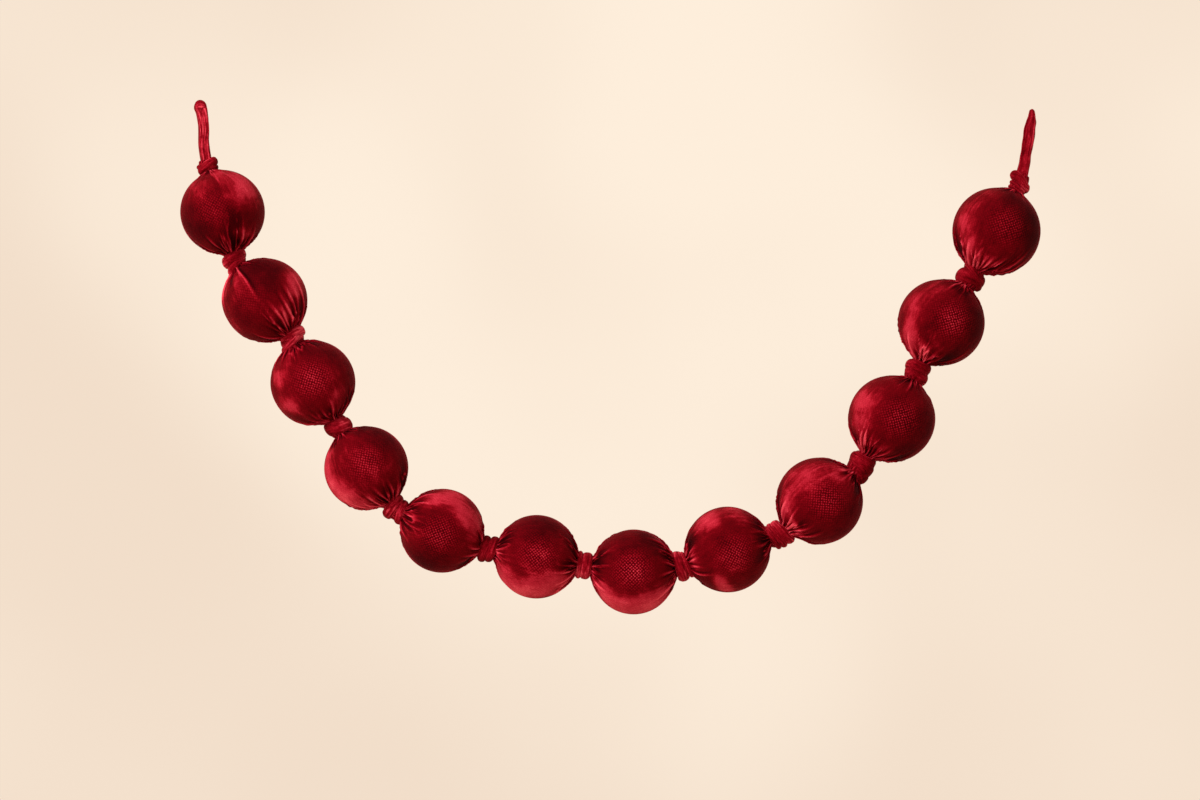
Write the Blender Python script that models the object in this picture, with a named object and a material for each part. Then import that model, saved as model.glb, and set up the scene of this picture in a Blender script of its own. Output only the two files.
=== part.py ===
"""Velvet ball garland, hanging in its curve.

Twelve padded balls sit in one tube of deep red velvet. The tube is gathered to a point on both
sides of each ball and tied there, so a knot of wrapped velvet lies between every two balls and at
both ends. A narrow velvet strip, folded in two, makes the hanging loop at each end.

Frame: +X runs along the garland's span, +Z is up and -Y faces the viewer. The origin is where a
hook bears inside the top of the left loop. Tables are in millimetres and degrees.
"""

import math
import random
from collections import namedtuple

import bpy
from mathutils import Matrix, Vector

MM = 0.001

# Clearances between pieces that touch.
SEAT_GAP = 0.3
SIDE_GAP = 0.55

# A ball's flat seat, where its cloth runs into the knot, and its gathers.
SEAT_RADIUS = 8.0
SEAT_DRAWN_IN = 0.82
RING_ANGLES = (18, 26, 36, 49, 63, 77, 90, 103, 117, 131, 144, 154, 162)
GATHERS_FADE_FROM = 27.0
GATHERS_FADE_TO = 66.0
GATHER_SPACING = (0.7, 1.3)
GATHER_DEPTHS = (0.5, 1.2)
POLE_BEND_FADE = 75.0

# A knot's grid, its neck, and its wraps: half a wrap's breadth as a share of the wraps' spacing,
# or of the knot's length where the wraps cross, and how far its ends fold back over the balls.
KNOT_RINGS = 12
KNOT_SIDES = 22
NECK_RADIUS = 5.9
WRAP_BREADTH = 0.6
CROSSED_BREADTH = 0.23
CROSSED_SPREAD = 0.3
UNDER_WRAP = 0.82
FOLD_BACK = 0.85
SHOULDER = 0.45

# The left end ball's centre, from the left loop's bearing point.
FIRST_BALL = (20.0, -96.8)

# One row for each ball from the left: radius, number of gathers, their depth, the slant they
# take toward the pole, and how much deeper the gathers toward the next knot are.
Ball = namedtuple("Ball", "radius gathers depth slant deeper")
BALLS = (
    Ball(37.6, 13, 2.0, 6, 1.50),
    Ball(37.8, 13, 2.4, -7, 1.25),
    Ball(37.9, 12, 2.4, 5, 1.20),
    Ball(37.6, 13, 2.4, -5, 1.25),
    Ball(37.6, 13, 2.5, 8, 0.95),
    Ball(37.4, 12, 2.5, -4, 1.10),
    Ball(38.0, 13, 2.5, 5, 1.05),
    Ball(38.4, 12, 2.6, -6, 0.95),
    Ball(38.9, 13, 2.7, 6, 0.85),
    Ball(38.9, 13, 2.7, -8, 0.80),
    Ball(38.8, 12, 2.8, 5, 0.80),
    Ball(39.2, 13, 2.8, -6, 0.60),
)

# One row for each knot between balls: distance to the next ball, that way's slope below level,
# how far the knot sits to the outside of the curve and along it, its width across, its number of
# wraps, their slant, their spacing, their height, whether they cross (1) or lie side by side (0),
# and how far the knot bulges to the front.
Knot = namedtuple("Knot", "pitch slope out along across wraps slant spacing height crossed front")
KNOTS = (
    Knot(88.1, 64.3, 9.7, 0.5, 24.4, 2, 10, 8.0, 3.6, 0, 0.8),
    Knot(85.7, 59.8, -4.0, -0.9, 26.4, 2, 12, 7.6, 4.0, 0, 1.6),
    Knot(90.6, 58.0, 1.7, 1.6, 26.8, 1, -7, 12.6, 3.6, 0, 1.0),
    Knot(88.6, 39.6, 12.5, 1.2, 24.6, 2, 9, 8.2, 3.8, 0, 0.8),
    Knot(88.2, 15.4, 5.6, 0.5, 25.2, 2, -3, 7.6, 3.4, 0, 0.6),
    Knot(88.3, 8.9, 1.3, 0.6, 24.8, 2, 2, 6.8, 2.6, 0, 0.4),
    Knot(87.0, -13.4, 5.0, -0.9, 28.2, 2, 4, 7.0, 3.4, 0, 0.8),
    Knot(93.5, -27.9, 10.8, 0.0, 26.4, 3, 10, 6.4, 3.4, 0, 1.0),
    Knot(98.5, -48.7, 7.7, -0.8, 28.0, 2, 20, 6.0, 4.6, 1, 1.2),
    Knot(97.4, -62.8, 0.9, -0.2, 26.4, 2, -21, 6.0, 4.4, 1, 1.4),
    Knot(96.0, -58.8, 2.2, -1.0, 28.2, 2, 24, 6.0, 4.6, 1, 1.2),
)

# One row for each end: the ball it ties, the lean of the knot from upright, the loop's foot, the
# knot's width, wraps, slant, spacing, height, crossing, front bulge and side lobes.
EndKnot = namedtuple("EndKnot", "name ball lean foot across wraps slant spacing height crossed front lobes")
END_KNOTS = (
    EndKnot("knot_left", 0, -17.8, (5.0, -50.2), 17.6, 2, 15, 4.0, 3.0, 1, 0.8, 0.22),
    EndKnot("knot_right", 11, 25.5, (739.4, -64.0), 19.6, 3, -8, 5.6, 3.0, 0, 0.8, 0.10),
)
END_SEAT_RADIUS = 6.6

# Each loop: the bearing point of its eye, and its turn about the vertical. The strip's width and
# thickness hold for both loops.
Loop = namedtuple("Loop", "name bearing turn knot")
LOOPS = (
    Loop("loop_left", (0.0, 0.0), 22.0, 0),
    Loop("loop_right", (748.4, -8.2), 76.0, 1),
)
STRIP_WIDTH = 8.6
STRIP_THICKNESS = 4.5
EYE_HALF_SPACING = 3.4
EYE_ARC_STEPS = 7
STRIP_SIDES = 8
STRIP_SQUARENESS = 0.6
RUN_SECTIONS = 12

# The strip's edges waver: share of its width, radians per section, start.
EDGE_WAVES = ((0.05, 1.7, 0.0), (0.03, 0.6, 1.0))

# Sections down a loop: depth below its bearing point, the two runs' shared sideways drift, and
# half the spacing of the runs. The feet follow from the end knot below.
Section = namedtuple("Section", "below drift half")
LOOP_SECTIONS = {
    "loop_left": (
        Section(1.3, 0.0, 3.4),
        Section(7.0, 1.2, 3.1),
        Section(14.0, 2.3, 2.5),
        Section(23.0, 3.0, 2.4),
        Section(32.0, 2.9, 2.4),
        Section(41.0, 3.6, 2.4),
        Section(49.9, 5.1, 2.4),
    ),
    "loop_right": (
        Section(1.3, 0.0, 3.4),
        Section(6.5, -0.6, 3.1),
        Section(15.0, -2.2, 2.6),
        Section(24.0, -3.2, 2.4),
        Section(33.0, -4.9, 2.4),
        Section(43.0, -6.5, 2.4),
        Section(55.5, -8.8, 2.4),
    ),
}

# Velvet colours, linear, with the rougher strip of the loops a little lighter.
VELVET_BALL = (0.130, 0.002, 0.008, 1.0)
VELVET_KNOT = (0.150, 0.003, 0.010, 1.0)
VELVET_LOOP = (0.190, 0.005, 0.014, 1.0)

UP = Vector((0.0, 0.0, 1.0))
FRONT = Vector((0.0, -1.0, 0.0))


def flat(x, z):
    """A point of the garland's upright plane."""
    return Vector((x, 0.0, z))


def heading(slope):
    """The way along the garland that falls by this many degrees below level."""
    a = math.radians(slope)
    return Vector((math.cos(a), 0.0, -math.sin(a)))


def outward(way):
    """Square to a way along the garland, to the outside of its curve."""
    return Vector((way.z, 0.0, -way.x))


def smooth(value, start, end):
    """Falls softly from 1 at start to 0 at end."""
    t = min(1.0, max(0.0, (value - start) / (end - start)))
    return 1.0 - t * t * (3.0 - 2.0 * t)


def velvet(name, colour):
    material = bpy.data.materials.new(name)
    material.use_nodes = True
    shader = material.node_tree.nodes["Principled BSDF"]
    shader.inputs["Base Color"].default_value = colour
    shader.inputs["Roughness"].default_value = 0.85
    shader.inputs["Metallic"].default_value = 0.0
    material.diffuse_color = colour
    return material


def rings_to_object(name, centre, rings, material, sharp=50.0):
    """A closed body lofted through rings of equal size, its first and last ring capped flat."""
    count = len(rings[0])
    points = [(p - centre) * MM for ring in rings for p in ring]
    faces = [tuple(range(count))]
    for k in range(len(rings) - 1):
        low = k * count
        for i in range(count):
            j = (i + 1) % count
            faces.append((low + j, low + i, low + count + i, low + count + j))
    faces.append(tuple(reversed(range((len(rings) - 1) * count, len(rings) * count))))
    mesh = bpy.data.meshes.new(name)
    mesh.from_pydata(points, [], faces)
    mesh.validate()
    mesh.materials.append(material)
    mesh.shade_smooth()
    mesh.set_sharp_from_angle(angle=math.radians(sharp))
    thing = bpy.data.objects.new(name, mesh)
    thing.location = centre * MM
    bpy.context.scene.collection.objects.link(thing)
    return thing


def seat_height(radius):
    """How far a ball's flat seat lies from its centre."""
    return math.sqrt(radius * radius - SEAT_RADIUS * SEAT_RADIUS)


def ball_rings(centre, row, back, ahead, seed):
    """Rings from the pole at the knot behind to the pole at the knot ahead. The two poles needn't
    face each other, so rings near a pole tilt toward it. Gathers are troughs between crests."""
    uneven = random.Random(seed)
    axis = (ahead - back).normalized()
    side = outward(axis)
    tilt_ahead = -math.asin(side.dot(ahead))
    tilt_back = math.asin(side.dot(back))
    widths = [uneven.uniform(*GATHER_SPACING) for _ in range(row.gathers * 2)]
    scale = 2.0 * math.pi / sum(widths)
    turns = [sum(widths[:i]) * scale for i in range(len(widths))]
    depths = [[uneven.uniform(*GATHER_DEPTHS) for _ in range(row.gathers)] for _ in range(2)]
    seat = math.degrees(math.asin(SEAT_RADIUS / row.radius))
    angles = (seat, *RING_ANGLES, 180.0 - seat)
    rings = []
    for k, angle in enumerate(angles):
        near = min(angle, 180.0 - angle)
        end = 0 if angle < 90.0 else 1
        fade = smooth(near, GATHERS_FADE_FROM, GATHERS_FADE_TO)
        depth = row.depth * (row.deeper if end else 1.0)
        # A ring keeps its own plane, tilted about the depth axis toward the nearer pole.
        tilt = (tilt_ahead if end else tilt_back) * smooth(near, seat, POLE_BEND_FADE)
        frame = Matrix.Rotation(tilt, 3, FRONT)
        ring = []
        for i, turn in enumerate(turns):
            turn += math.radians(row.slant) * fade * (1.0 if end else -1.0)
            trough = depths[end][i // 2] if i % 2 else 0.0
            reach = row.radius - trough * depth * fade
            across = reach * math.sin(math.radians(angle))
            if k in (0, len(angles) - 1):
                reach = row.radius
                across = SEAT_RADIUS * (SEAT_DRAWN_IN if i % 2 else 1.0)
            level = -reach * math.cos(math.radians(angle))
            local = axis * level + (side * math.cos(turn) + FRONT * math.sin(turn)) * across
            ring.append(centre + frame @ local)
        rings.append(ring)
    return rings


def knot_rings(start, start_way, end, end_way, row, spheres, lobes=0.0, end_radius=NECK_RADIUS):
    """Rings of a tied knot, from its flat seat at start to the one at end. Each wrap is a rounded
    ridge round the neck. A slanted wrap lies further along on one side of the knot."""
    reach = (end - start).length
    start_pull = start + start_way * reach / 3.0
    end_pull = end - end_way * reach / 3.0
    full = row.across / 2.0
    core = full - row.height
    breadth = reach * CROSSED_BREADTH if row.crossed else row.spacing * WRAP_BREADTH
    rings = []
    for k in range(KNOT_RINGS):
        s = k / (KNOT_RINGS - 1)
        t = 1.0 - s
        middle = (
            start * t ** 3 + start_pull * 3 * t * t * s + end_pull * 3 * t * s * s + end * s ** 3
        )
        way = (
            (start_pull - start) * t * t + (end_pull - start_pull) * 2 * t * s + (end - end_pull) * s * s
        ).normalized()
        if k == 0:
            way = start_way
        if k == KNOT_RINGS - 1:
            way = end_way
        side = outward(way)
        place = (s - 0.5) * reach
        ring = []
        for i in range(KNOT_SIDES):
            turn = 2.0 * math.pi * i / KNOT_SIDES
            if k in (0, KNOT_RINGS - 1):
                radius = NECK_RADIUS if k == 0 else end_radius
                ring.append(middle + (side * math.cos(turn) + FRONT * math.sin(turn)) * radius)
                continue
            ridge = 0.0
            for w in range(row.wraps):
                shift = (w - (row.wraps - 1) / 2.0) * row.spacing
                lean = math.tan(math.radians(row.slant)) * full * math.cos(turn)
                if row.crossed:
                    shift *= CROSSED_SPREAD
                    lean *= 1.0 - 2.0 * (w % 2)
                off = (place - shift - lean) / breadth
                rise = math.sqrt(max(0.0, 1.0 - off * off)) * UNDER_WRAP ** (w % 2)
                ridge = max(ridge, rise)
            swell = math.sin(math.pi * s) ** SHOULDER
            neck = NECK_RADIUS * (1.0 - s) + end_radius * s
            radius = neck + (core - neck) * swell + row.height * ridge * swell ** 0.5
            radius += row.front * max(0.0, math.sin(turn)) ** 2 * swell
            radius *= 1.0 + lobes * math.cos(2.0 * turn) * swell
            point = middle + (side * math.cos(turn) + FRONT * math.sin(turn)) * radius
            # The ends of the knot fold a little way back over the balls' round ends, and lie on them.
            for centre, ball_radius, sign, share in spheres:
                drop = ball_radius - math.sqrt(max(0.0, ball_radius ** 2 - radius ** 2))
                point += way * sign * drop * FOLD_BACK * share(s)
                from_ball = point - centre
                clear = ball_radius + SIDE_GAP
                if from_ball.length < clear:
                    point = centre + from_ball.normalized() * clear
            ring.append(point)
        rings.append(ring)
    return rings


def eased(sections, below):
    """Drift and half spacing of a loop's runs at a depth, on a smooth curve through its table."""
    k = 0
    while k < len(sections) - 2 and below > sections[k + 1].below:
        k += 1
    a, b = sections[k], sections[k + 1]
    before = sections[max(k - 1, 0)]
    after = sections[min(k + 2, len(sections) - 1)]
    t = (below - a.below) / (b.below - a.below)
    found = []
    for field in ("drift", "half"):
        p0, p1, p2, p3 = (getattr(r, field) for r in (before, a, b, after))
        found.append(
            0.5 * (2 * p1 + (p2 - p0) * t + (2 * p0 - 5 * p1 + 4 * p2 - p3) * t * t
                   + (3 * p1 - p0 - 3 * p2 + p3) * t ** 3)
        )
    return found


def loop_rings(loop, foot, foot_way):
    """Rings along the folded strip: up one run, round the eye and down the other run. Both feet
    end flat on the knot."""
    turn = math.radians(loop.turn)
    plane = Vector((math.cos(turn), math.sin(turn), 0.0))
    bearing = flat(*loop.bearing)
    sections = LOOP_SECTIONS[loop.name]
    top = sections[0].below
    last = sections[-1].below
    runs = {1: [], -1: []}
    for k in range(RUN_SECTIONS):
        below = top + (last - top) * k / (RUN_SECTIONS - 1)
        drift, half = eased(sections, below)
        for sign in runs:
            point = bearing + Vector((drift, 0.0, -below)) + plane * (half * sign)
            if k == RUN_SECTIONS - 1:
                # The last section is square to the knot's top and a little above it.
                point -= foot_way * ((point - foot).dot(foot_way) - SEAT_GAP)
            runs[sign].append(point)
    arc = []
    for k in range(1, EYE_ARC_STEPS):
        a = math.pi * k / EYE_ARC_STEPS
        around = plane * math.cos(a) + UP * math.sin(a)
        arc.append(bearing - UP * top + around * EYE_HALF_SPACING)
    path = list(reversed(runs[1])) + arc + runs[-1]
    across = plane.cross(UP).normalized()
    rings = []
    for k, point in enumerate(path):
        way = (path[min(k + 1, len(path) - 1)] - path[max(k - 1, 0)]).normalized()
        if k == 0:
            way = foot_way
        if k == len(path) - 1:
            way = -foot_way
        thick = way.cross(across).normalized()
        wide = thick.cross(way).normalized()
        uneven = 1.0 + sum(share * math.sin(rate * k + start) for share, rate, start in EDGE_WAVES)
        ring = []
        for i in range(STRIP_SIDES):
            a = 2.0 * math.pi * (i + 0.5) / STRIP_SIDES
            x = math.copysign(abs(math.cos(a)) ** STRIP_SQUARENESS, math.cos(a)) * STRIP_THICKNESS / 2.0
            y = math.copysign(abs(math.sin(a)) ** STRIP_SQUARENESS, math.sin(a)) * STRIP_WIDTH / 2.0
            ring.append(point + thick * x + wide * y * uneven)
        rings.append(ring)
    return rings


def clear_scene():
    for thing in list(bpy.data.objects):
        bpy.data.objects.remove(thing, do_unlink=True)


def main():
    clear_scene()
    ball_velvet = velvet("velvet_ball", VELVET_BALL)
    knot_velvet = velvet("velvet_knot", VELVET_KNOT)
    loop_velvet = velvet("velvet_loop", VELVET_LOOP)

    centres = [flat(*FIRST_BALL)]
    for row in KNOTS:
        centres.append(centres[-1] + heading(row.slope) * row.pitch)

    # The way from a ball's centre to each of its two knots.
    ahead = []
    back = []
    middles = []
    for k, row in enumerate(KNOTS):
        way = heading(row.slope)
        middle = (centres[k] + centres[k + 1]) / 2.0 + outward(way) * row.out + way * row.along
        middles.append(middle)
    ends = [Matrix.Rotation(math.radians(e.lean), 3, "Y") @ UP for e in END_KNOTS]
    for k, centre in enumerate(centres):
        back.append(ends[0] if k == 0 else (middles[k - 1] - centre).normalized())
        ahead.append(ends[1] if k == len(centres) - 1 else (middles[k] - centre).normalized())

    for k, row in enumerate(BALLS):
        rings = ball_rings(centres[k], row, back[k], ahead[k], seed=k + 11)
        rings_to_object(f"ball_{k + 1:02d}", centres[k], rings, ball_velvet)

    def near_start(s):
        return max(0.0, 1.0 - 2.0 * s)

    def near_end(s):
        return max(0.0, 2.0 * s - 1.0)

    for k, row in enumerate(KNOTS):
        first, second = BALLS[k].radius, BALLS[k + 1].radius
        start = centres[k] + ahead[k] * (seat_height(first) + SEAT_GAP)
        end = centres[k + 1] + back[k + 1] * (seat_height(second) + SEAT_GAP)
        spheres = ((centres[k], first, -1.0, near_start), (centres[k + 1], second, 1.0, near_end))
        rings = knot_rings(start, ahead[k], end, -back[k + 1], row, spheres)
        rings_to_object(f"knot_{k + 1:02d}", middles[k], rings, knot_velvet)

    for loop in LOOPS:
        row = END_KNOTS[loop.knot]
        tied = BALLS[row.ball]
        pole = ends[loop.knot]
        start = centres[row.ball] + pole * (seat_height(tied.radius) + SEAT_GAP)
        foot = flat(*row.foot)
        low, high = LOOP_SECTIONS[loop.name][-1], LOOP_SECTIONS[loop.name][-2]
        foot_way = Vector((high.drift - low.drift, 0.0, low.below - high.below)).normalized()
        spheres = ((centres[row.ball], tied.radius, -1.0, near_start),)
        rings = knot_rings(start, pole, foot, foot_way, row, spheres, row.lobes, END_SEAT_RADIUS)
        rings_to_object(row.name, (start + foot) / 2.0, rings, knot_velvet)
        rings = loop_rings(loop, foot, foot_way)
        rings_to_object(loop.name, flat(*loop.bearing), rings, loop_velvet)


main()
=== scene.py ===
# %% [markdown]
# # A garland of velvet balls
# Twelve padded balls sit in one tube of crimson velvet. The tube is gathered and tied between the
# balls, and a folded strip at each end hangs it up. The solids of the part already stand in their
# places. This file dresses each of them: balls with gathers, knots with wraps, strips with creases.
# The meshes are in metres and the tables below in millimetres, with +X along the garland and +Z up.
# The viewer stands at -Y.

# %% The frame
import math
from collections import namedtuple

import bpy
import numpy as np
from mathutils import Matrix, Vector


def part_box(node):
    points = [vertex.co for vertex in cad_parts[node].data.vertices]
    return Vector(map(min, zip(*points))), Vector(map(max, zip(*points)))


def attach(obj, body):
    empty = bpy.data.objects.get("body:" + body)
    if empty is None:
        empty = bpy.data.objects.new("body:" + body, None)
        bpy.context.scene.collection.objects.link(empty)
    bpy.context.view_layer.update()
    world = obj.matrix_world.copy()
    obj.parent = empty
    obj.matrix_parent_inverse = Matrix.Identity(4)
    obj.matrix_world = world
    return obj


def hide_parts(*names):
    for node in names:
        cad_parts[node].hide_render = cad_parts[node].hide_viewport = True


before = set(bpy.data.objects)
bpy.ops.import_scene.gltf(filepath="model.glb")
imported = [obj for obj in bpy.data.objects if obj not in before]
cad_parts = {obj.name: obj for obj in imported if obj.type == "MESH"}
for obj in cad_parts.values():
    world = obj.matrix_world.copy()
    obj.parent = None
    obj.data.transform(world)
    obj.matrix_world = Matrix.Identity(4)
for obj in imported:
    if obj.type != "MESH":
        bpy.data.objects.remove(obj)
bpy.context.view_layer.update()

# %% [markdown]
# ## The camera
# The photo looks at the garland square on from far away, so its perspective is weak. A long lens
# does that. One pixel of the photo is 0.9 mm at the garland, which gives the width of the picture
# and so the distance.

# %% Camera
MM = 0.001
PHOTO_SCALE = 0.9 * MM
PHOTO_SIZE = (1200, 800)
# Where the origin shows in the photo: the point inside the left loop's top.
ORIGIN_PIXEL = (200.4, 104.5)
LENS = 85.0
SENSOR = 36.0
FARTHEST_SEEN = 60.0


def make_camera():
    data = bpy.data.cameras.new("camera")
    data.lens = LENS
    data.sensor_width = SENSOR
    data.clip_end = FARTHEST_SEEN
    camera = bpy.data.objects.new("camera", data)
    bpy.context.scene.collection.objects.link(camera)
    away = LENS / SENSOR * PHOTO_SIZE[0] * PHOTO_SCALE
    x = (PHOTO_SIZE[0] / 2 - ORIGIN_PIXEL[0]) * PHOTO_SCALE
    z = -(PHOTO_SIZE[1] / 2 - ORIGIN_PIXEL[1]) * PHOTO_SCALE
    camera.location = (x, -away, z)
    camera.rotation_euler = (math.pi / 2, 0.0, 0.0)
    bpy.context.scene.camera = camera
    print("camera", [round(v, 3) for v in camera.location])


make_camera()

# %% [markdown]
# ## Nodes as sums
# Node trees get hard to read when each plus sign is a node made by hand. A small class wraps a
# socket, so that `mask * 0.5 + noise` adds the Math nodes itself. The same class serves materials
# and Geometry Nodes, because both use the same Math and Vector Math nodes.


# %% A socket that can be added and multiplied
class Value:
    """An output socket, written in sums. A vector uses Vector Math, a number uses Math."""

    def __init__(self, tree, socket):
        self.tree = tree
        self.socket = socket
        self.is_vector = socket.type == "VECTOR"

    def _sum(self, operation, other, swapped=False):
        vector = self.is_vector or getattr(other, "is_vector", False)
        first, second = (other, self) if swapped else (self, other)
        if vector and operation == "MULTIPLY" and not (
            self.is_vector and (getattr(other, "is_vector", False) or isinstance(other, tuple))
        ):
            way, size = (self, other) if self.is_vector else (other, self)
            return self.tree.add("ShaderNodeVectorMath", {"operation": "SCALE"}, {0: way, "Scale": size})
        kind = "ShaderNodeVectorMath" if vector else "ShaderNodeMath"
        return self.tree.add(kind, {"operation": operation}, {0: first, 1: second})

    def __add__(self, other):
        return self._sum("ADD", other)

    def __sub__(self, other):
        return self._sum("SUBTRACT", other)

    def __rsub__(self, other):
        return self._sum("SUBTRACT", other, swapped=True)

    def __mul__(self, other):
        return self._sum("MULTIPLY", other)

    def __truediv__(self, other):
        return self._sum("DIVIDE", other)

    __radd__ = __add__
    __rmul__ = __mul__

    def call(self, operation, other=None, out=0):
        """A Math or Vector Math node named by its operation, such as DOT_PRODUCT or POWER."""
        kind = "ShaderNodeVectorMath" if self.is_vector else "ShaderNodeMath"
        inputs = {0: self} if other is None else {0: self, 1: other}
        return self.tree.add(kind, {"operation": operation}, inputs, out)

    def smooth(self, start, end):
        """0 below start, 1 above end, soft between."""
        ends = {"Value": self, "From Min": start, "From Max": end}
        return self.tree.add("ShaderNodeMapRange", {"interpolation_type": "SMOOTHSTEP"}, ends)


print("sums become nodes")


# %% A tree that hands them out
class Tree:
    """A node tree that hands out Values."""

    def __init__(self, nodes_of):
        self.nodes = nodes_of.nodes
        self.links = nodes_of.links

    def feed(self, socket, value):
        if isinstance(value, Value):
            self.links.new(value.socket, socket)
        elif isinstance(value, bpy.types.NodeSocket):
            self.links.new(value, socket)
        else:
            socket.default_value = value

    def add(self, kind, settings=None, inputs=None, out=0):
        """A node of this kind: its settings first, then its sockets, then the output asked for."""
        node = self.nodes.new(kind)
        for name, setting in (settings or {}).items():
            setattr(node, name, setting)
        for name, value in (inputs or {}).items():
            self.feed(node.inputs[name], value)
        return Value(self, node.outputs[out])

    def blend(self, factor, low, high):
        """A colour between low and high."""
        return self.add("ShaderNodeMix", {"data_type": "RGBA"}, {0: factor, 6: low, 7: high}, 2)

    def ramp(self, factor, stops):
        """A colour that passes through each stop's colour at its place from 0 to 1."""
        value = self.add("ShaderNodeValToRGB", None, {"Fac": factor})
        elements = value.socket.node.color_ramp.elements
        while len(elements) < len(stops):
            elements.new(0.5)
        for element, (place, colour) in zip(elements, stops):
            element.position = place
            element.color = (*colour, 1.0)
        return value


print("trees hand out values")

# %% [markdown]
# ## Velvet
# Velvet is a mat of short upright fibres, its nap. Looked at along the fibres it is almost black
# red, and at a slant it glows, so every ball has a dark heart and a bright rim. The sheen of the
# Principled shader does this. Where the nap was brushed over, the cloth turns lighter in soft-edged
# patches, which the colour paints as sheen. Crests of gathers catch light and their troughs stay
# dark, painted as a highlight on the crests and as shade in the troughs. The cloth's ground is a
# fine dotted knit, about 2 mm from dot to dot, that shows where the cloth is stretched over the
# ball; near the middle of the front and back its dots are lightened as a painted glint and the
# ground between them darkened as painted shade. The nap, crest and trough amounts are stored on
# the meshes, and the shader mixes colours by them.

# %% Colours of the velvet
# From the painted shade of the darkest fold to the painted sheen of nap brushed toward the light,
# as stops of one ramp.
VELVET_TONES = (
    (0.00, (0.013, 0.0001, 0.0006)),
    (0.22, (0.045, 0.0002, 0.0014)),
    (0.42, (0.110, 0.0004, 0.0028)),
    (0.62, (0.222, 0.0028, 0.0095)),
    (0.82, (0.395, 0.0145, 0.0330)),
    (1.00, (0.640, 0.0560, 0.0880)),
)
SHEEN_TINT = (1.0, 0.05, 0.10, 1.0)
GLINT_TINT = (1.0, 0.12, 0.18, 1.0)
DOT_PITCH = 2.2 * MM
DOT_UNEVEN = 0.32
BUMP_HEIGHT = 0.16 * MM
# How much each stored or random amount adds to the tone, which picks the colour from the ramp.
# The nap amounts add painted sheen, a crest a painted highlight and a trough painted shade; the
# dots add a painted glint near the middle of each disc, and the open ground there painted shade.
TONE_OF = {
    "nap": 0.31, "brushed_sheen": 0.19, "broad": 0.24, "fine": 0.24, "pile": 0.24, "crest": 0.58,
    "trough": 0.40, "dots": 0.50, "open": 0.09,
}
print("tones:", len(VELVET_TONES), "stops, from", len(TONE_OF), "amounts")


# %% The velvet's finish
def make_velvet(name, level, grain=1.0, lines=0.20, dotted=False, sheen=0.32):
    material = bpy.data.materials.new(name)
    material.use_nodes = True
    tree = Tree(material.node_tree)
    shader = material.node_tree.nodes["Principled BSDF"]
    place = tree.add("ShaderNodeTexCoord", out="Object")

    def noise(scale, detail, rough=0.55, bend=0.0):
        inputs = {"Vector": place, "Scale": scale, "Detail": detail, "Roughness": rough}
        inputs["Distortion"] = bend
        return tree.add("ShaderNodeTexNoise", None, inputs) - 0.5

    def stored(what):
        return tree.add("ShaderNodeAttribute", {"attribute_name": what}, out="Fac")

    broad = noise(24.0, 4.0, 0.6, 0.6)
    fine = noise(120.0, 3.0, 0.6, 0.4)
    pile = noise(1000.0, 2.0)
    nap = stored("nap")
    crest = stored("crest")
    trough = stored("trough")
    streak = stored("streak") - 0.5
    # Brushed nap adds painted sheen, a crest a painted highlight, a trough painted shade.
    brushed_sheen = (nap + broad * 1.1 + fine * 0.7 + streak * 0.9).smooth(0.18, 0.74)
    tone = nap * TONE_OF["nap"] + brushed_sheen * TONE_OF["brushed_sheen"] + level
    tone = tone + broad * TONE_OF["broad"] + streak * lines
    tone = tone + (fine * TONE_OF["fine"] + pile * TONE_OF["pile"]) * grain
    tone = tone + crest * TONE_OF["crest"] - trough * TONE_OF["trough"]
    height = pile
    if dotted:
        cloth = tree.add("ShaderNodeUVMap", {"uv_map": "cloth"})
        split = tree.add("ShaderNodeSeparateXYZ", None, {0: cloth}).socket.node
        across = Value(tree, split.outputs["X"])
        along = Value(tree, split.outputs["Y"])
        # Rounded grains in slanting rows, none quite in its place.
        slant = 0.5**0.5 / DOT_PITCH
        rows = {"X": (across + along) * slant, "Y": (across - along) * slant}
        spot = {"Vector": tree.add("ShaderNodeCombineXYZ", None, rows)}
        spot.update({"Scale": 1.0, "Randomness": DOT_UNEVEN})
        grain_off = tree.add("ShaderNodeTexVoronoi", {"voronoi_dimensions": "2D"}, spot, "Distance")
        open_nap_glint = stored("open")
        # The knit's grains get a painted glint where the ground is open, and the open ground painted
        # shade.
        dots = (0.55 - grain_off + pile * 0.3).smooth(0.0, 0.45) * open_nap_glint
        tone = tone + dots * TONE_OF["dots"] - open_nap_glint * TONE_OF["open"]
        height = height + dots * 2.0
    colour = tree.ramp(tone, VELVET_TONES)
    bump = tree.add("ShaderNodeBump", None, {"Height": height, "Distance": BUMP_HEIGHT, "Strength": 1.0})
    tree.feed(shader.inputs["Base Color"], colour)
    tree.feed(shader.inputs["Normal"], bump)
    tree.feed(shader.inputs["Roughness"], 0.88 - tone.smooth(0.2, 0.9) * 0.2)
    shader.inputs["Metallic"].default_value = 0.0
    shader.inputs["Specular IOR Level"].default_value = 0.08
    shader.inputs["Specular Tint"].default_value = GLINT_TINT
    shader.inputs["Sheen Weight"].default_value = sheen
    shader.inputs["Sheen Roughness"].default_value = 0.25
    shader.inputs["Sheen Tint"].default_value = SHEEN_TINT
    print("finish", name)
    return material


# The balls, the knots and the loops are cut from one cloth, but the last two are seen more at a
# slant, so their colour starts lighter, a painted sheen, and their rubbed pile is more uneven.
BALL_VELVET = make_velvet("velvet_ball", 0.335, dotted=True)
KNOT_VELVET = make_velvet("velvet_knot", 0.52, grain=1.9, lines=0.26, sheen=0.24)
LOOP_VELVET = make_velvet("velvet_loop", 0.48, grain=2.0, lines=0.34)

# %% [markdown]
# ## Where everything hangs
# The garland is laid out as it was measured: from ball to ball by a distance and a slope, with each
# knot a little off that line. These are the sizes of the solids, repeated here.

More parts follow.
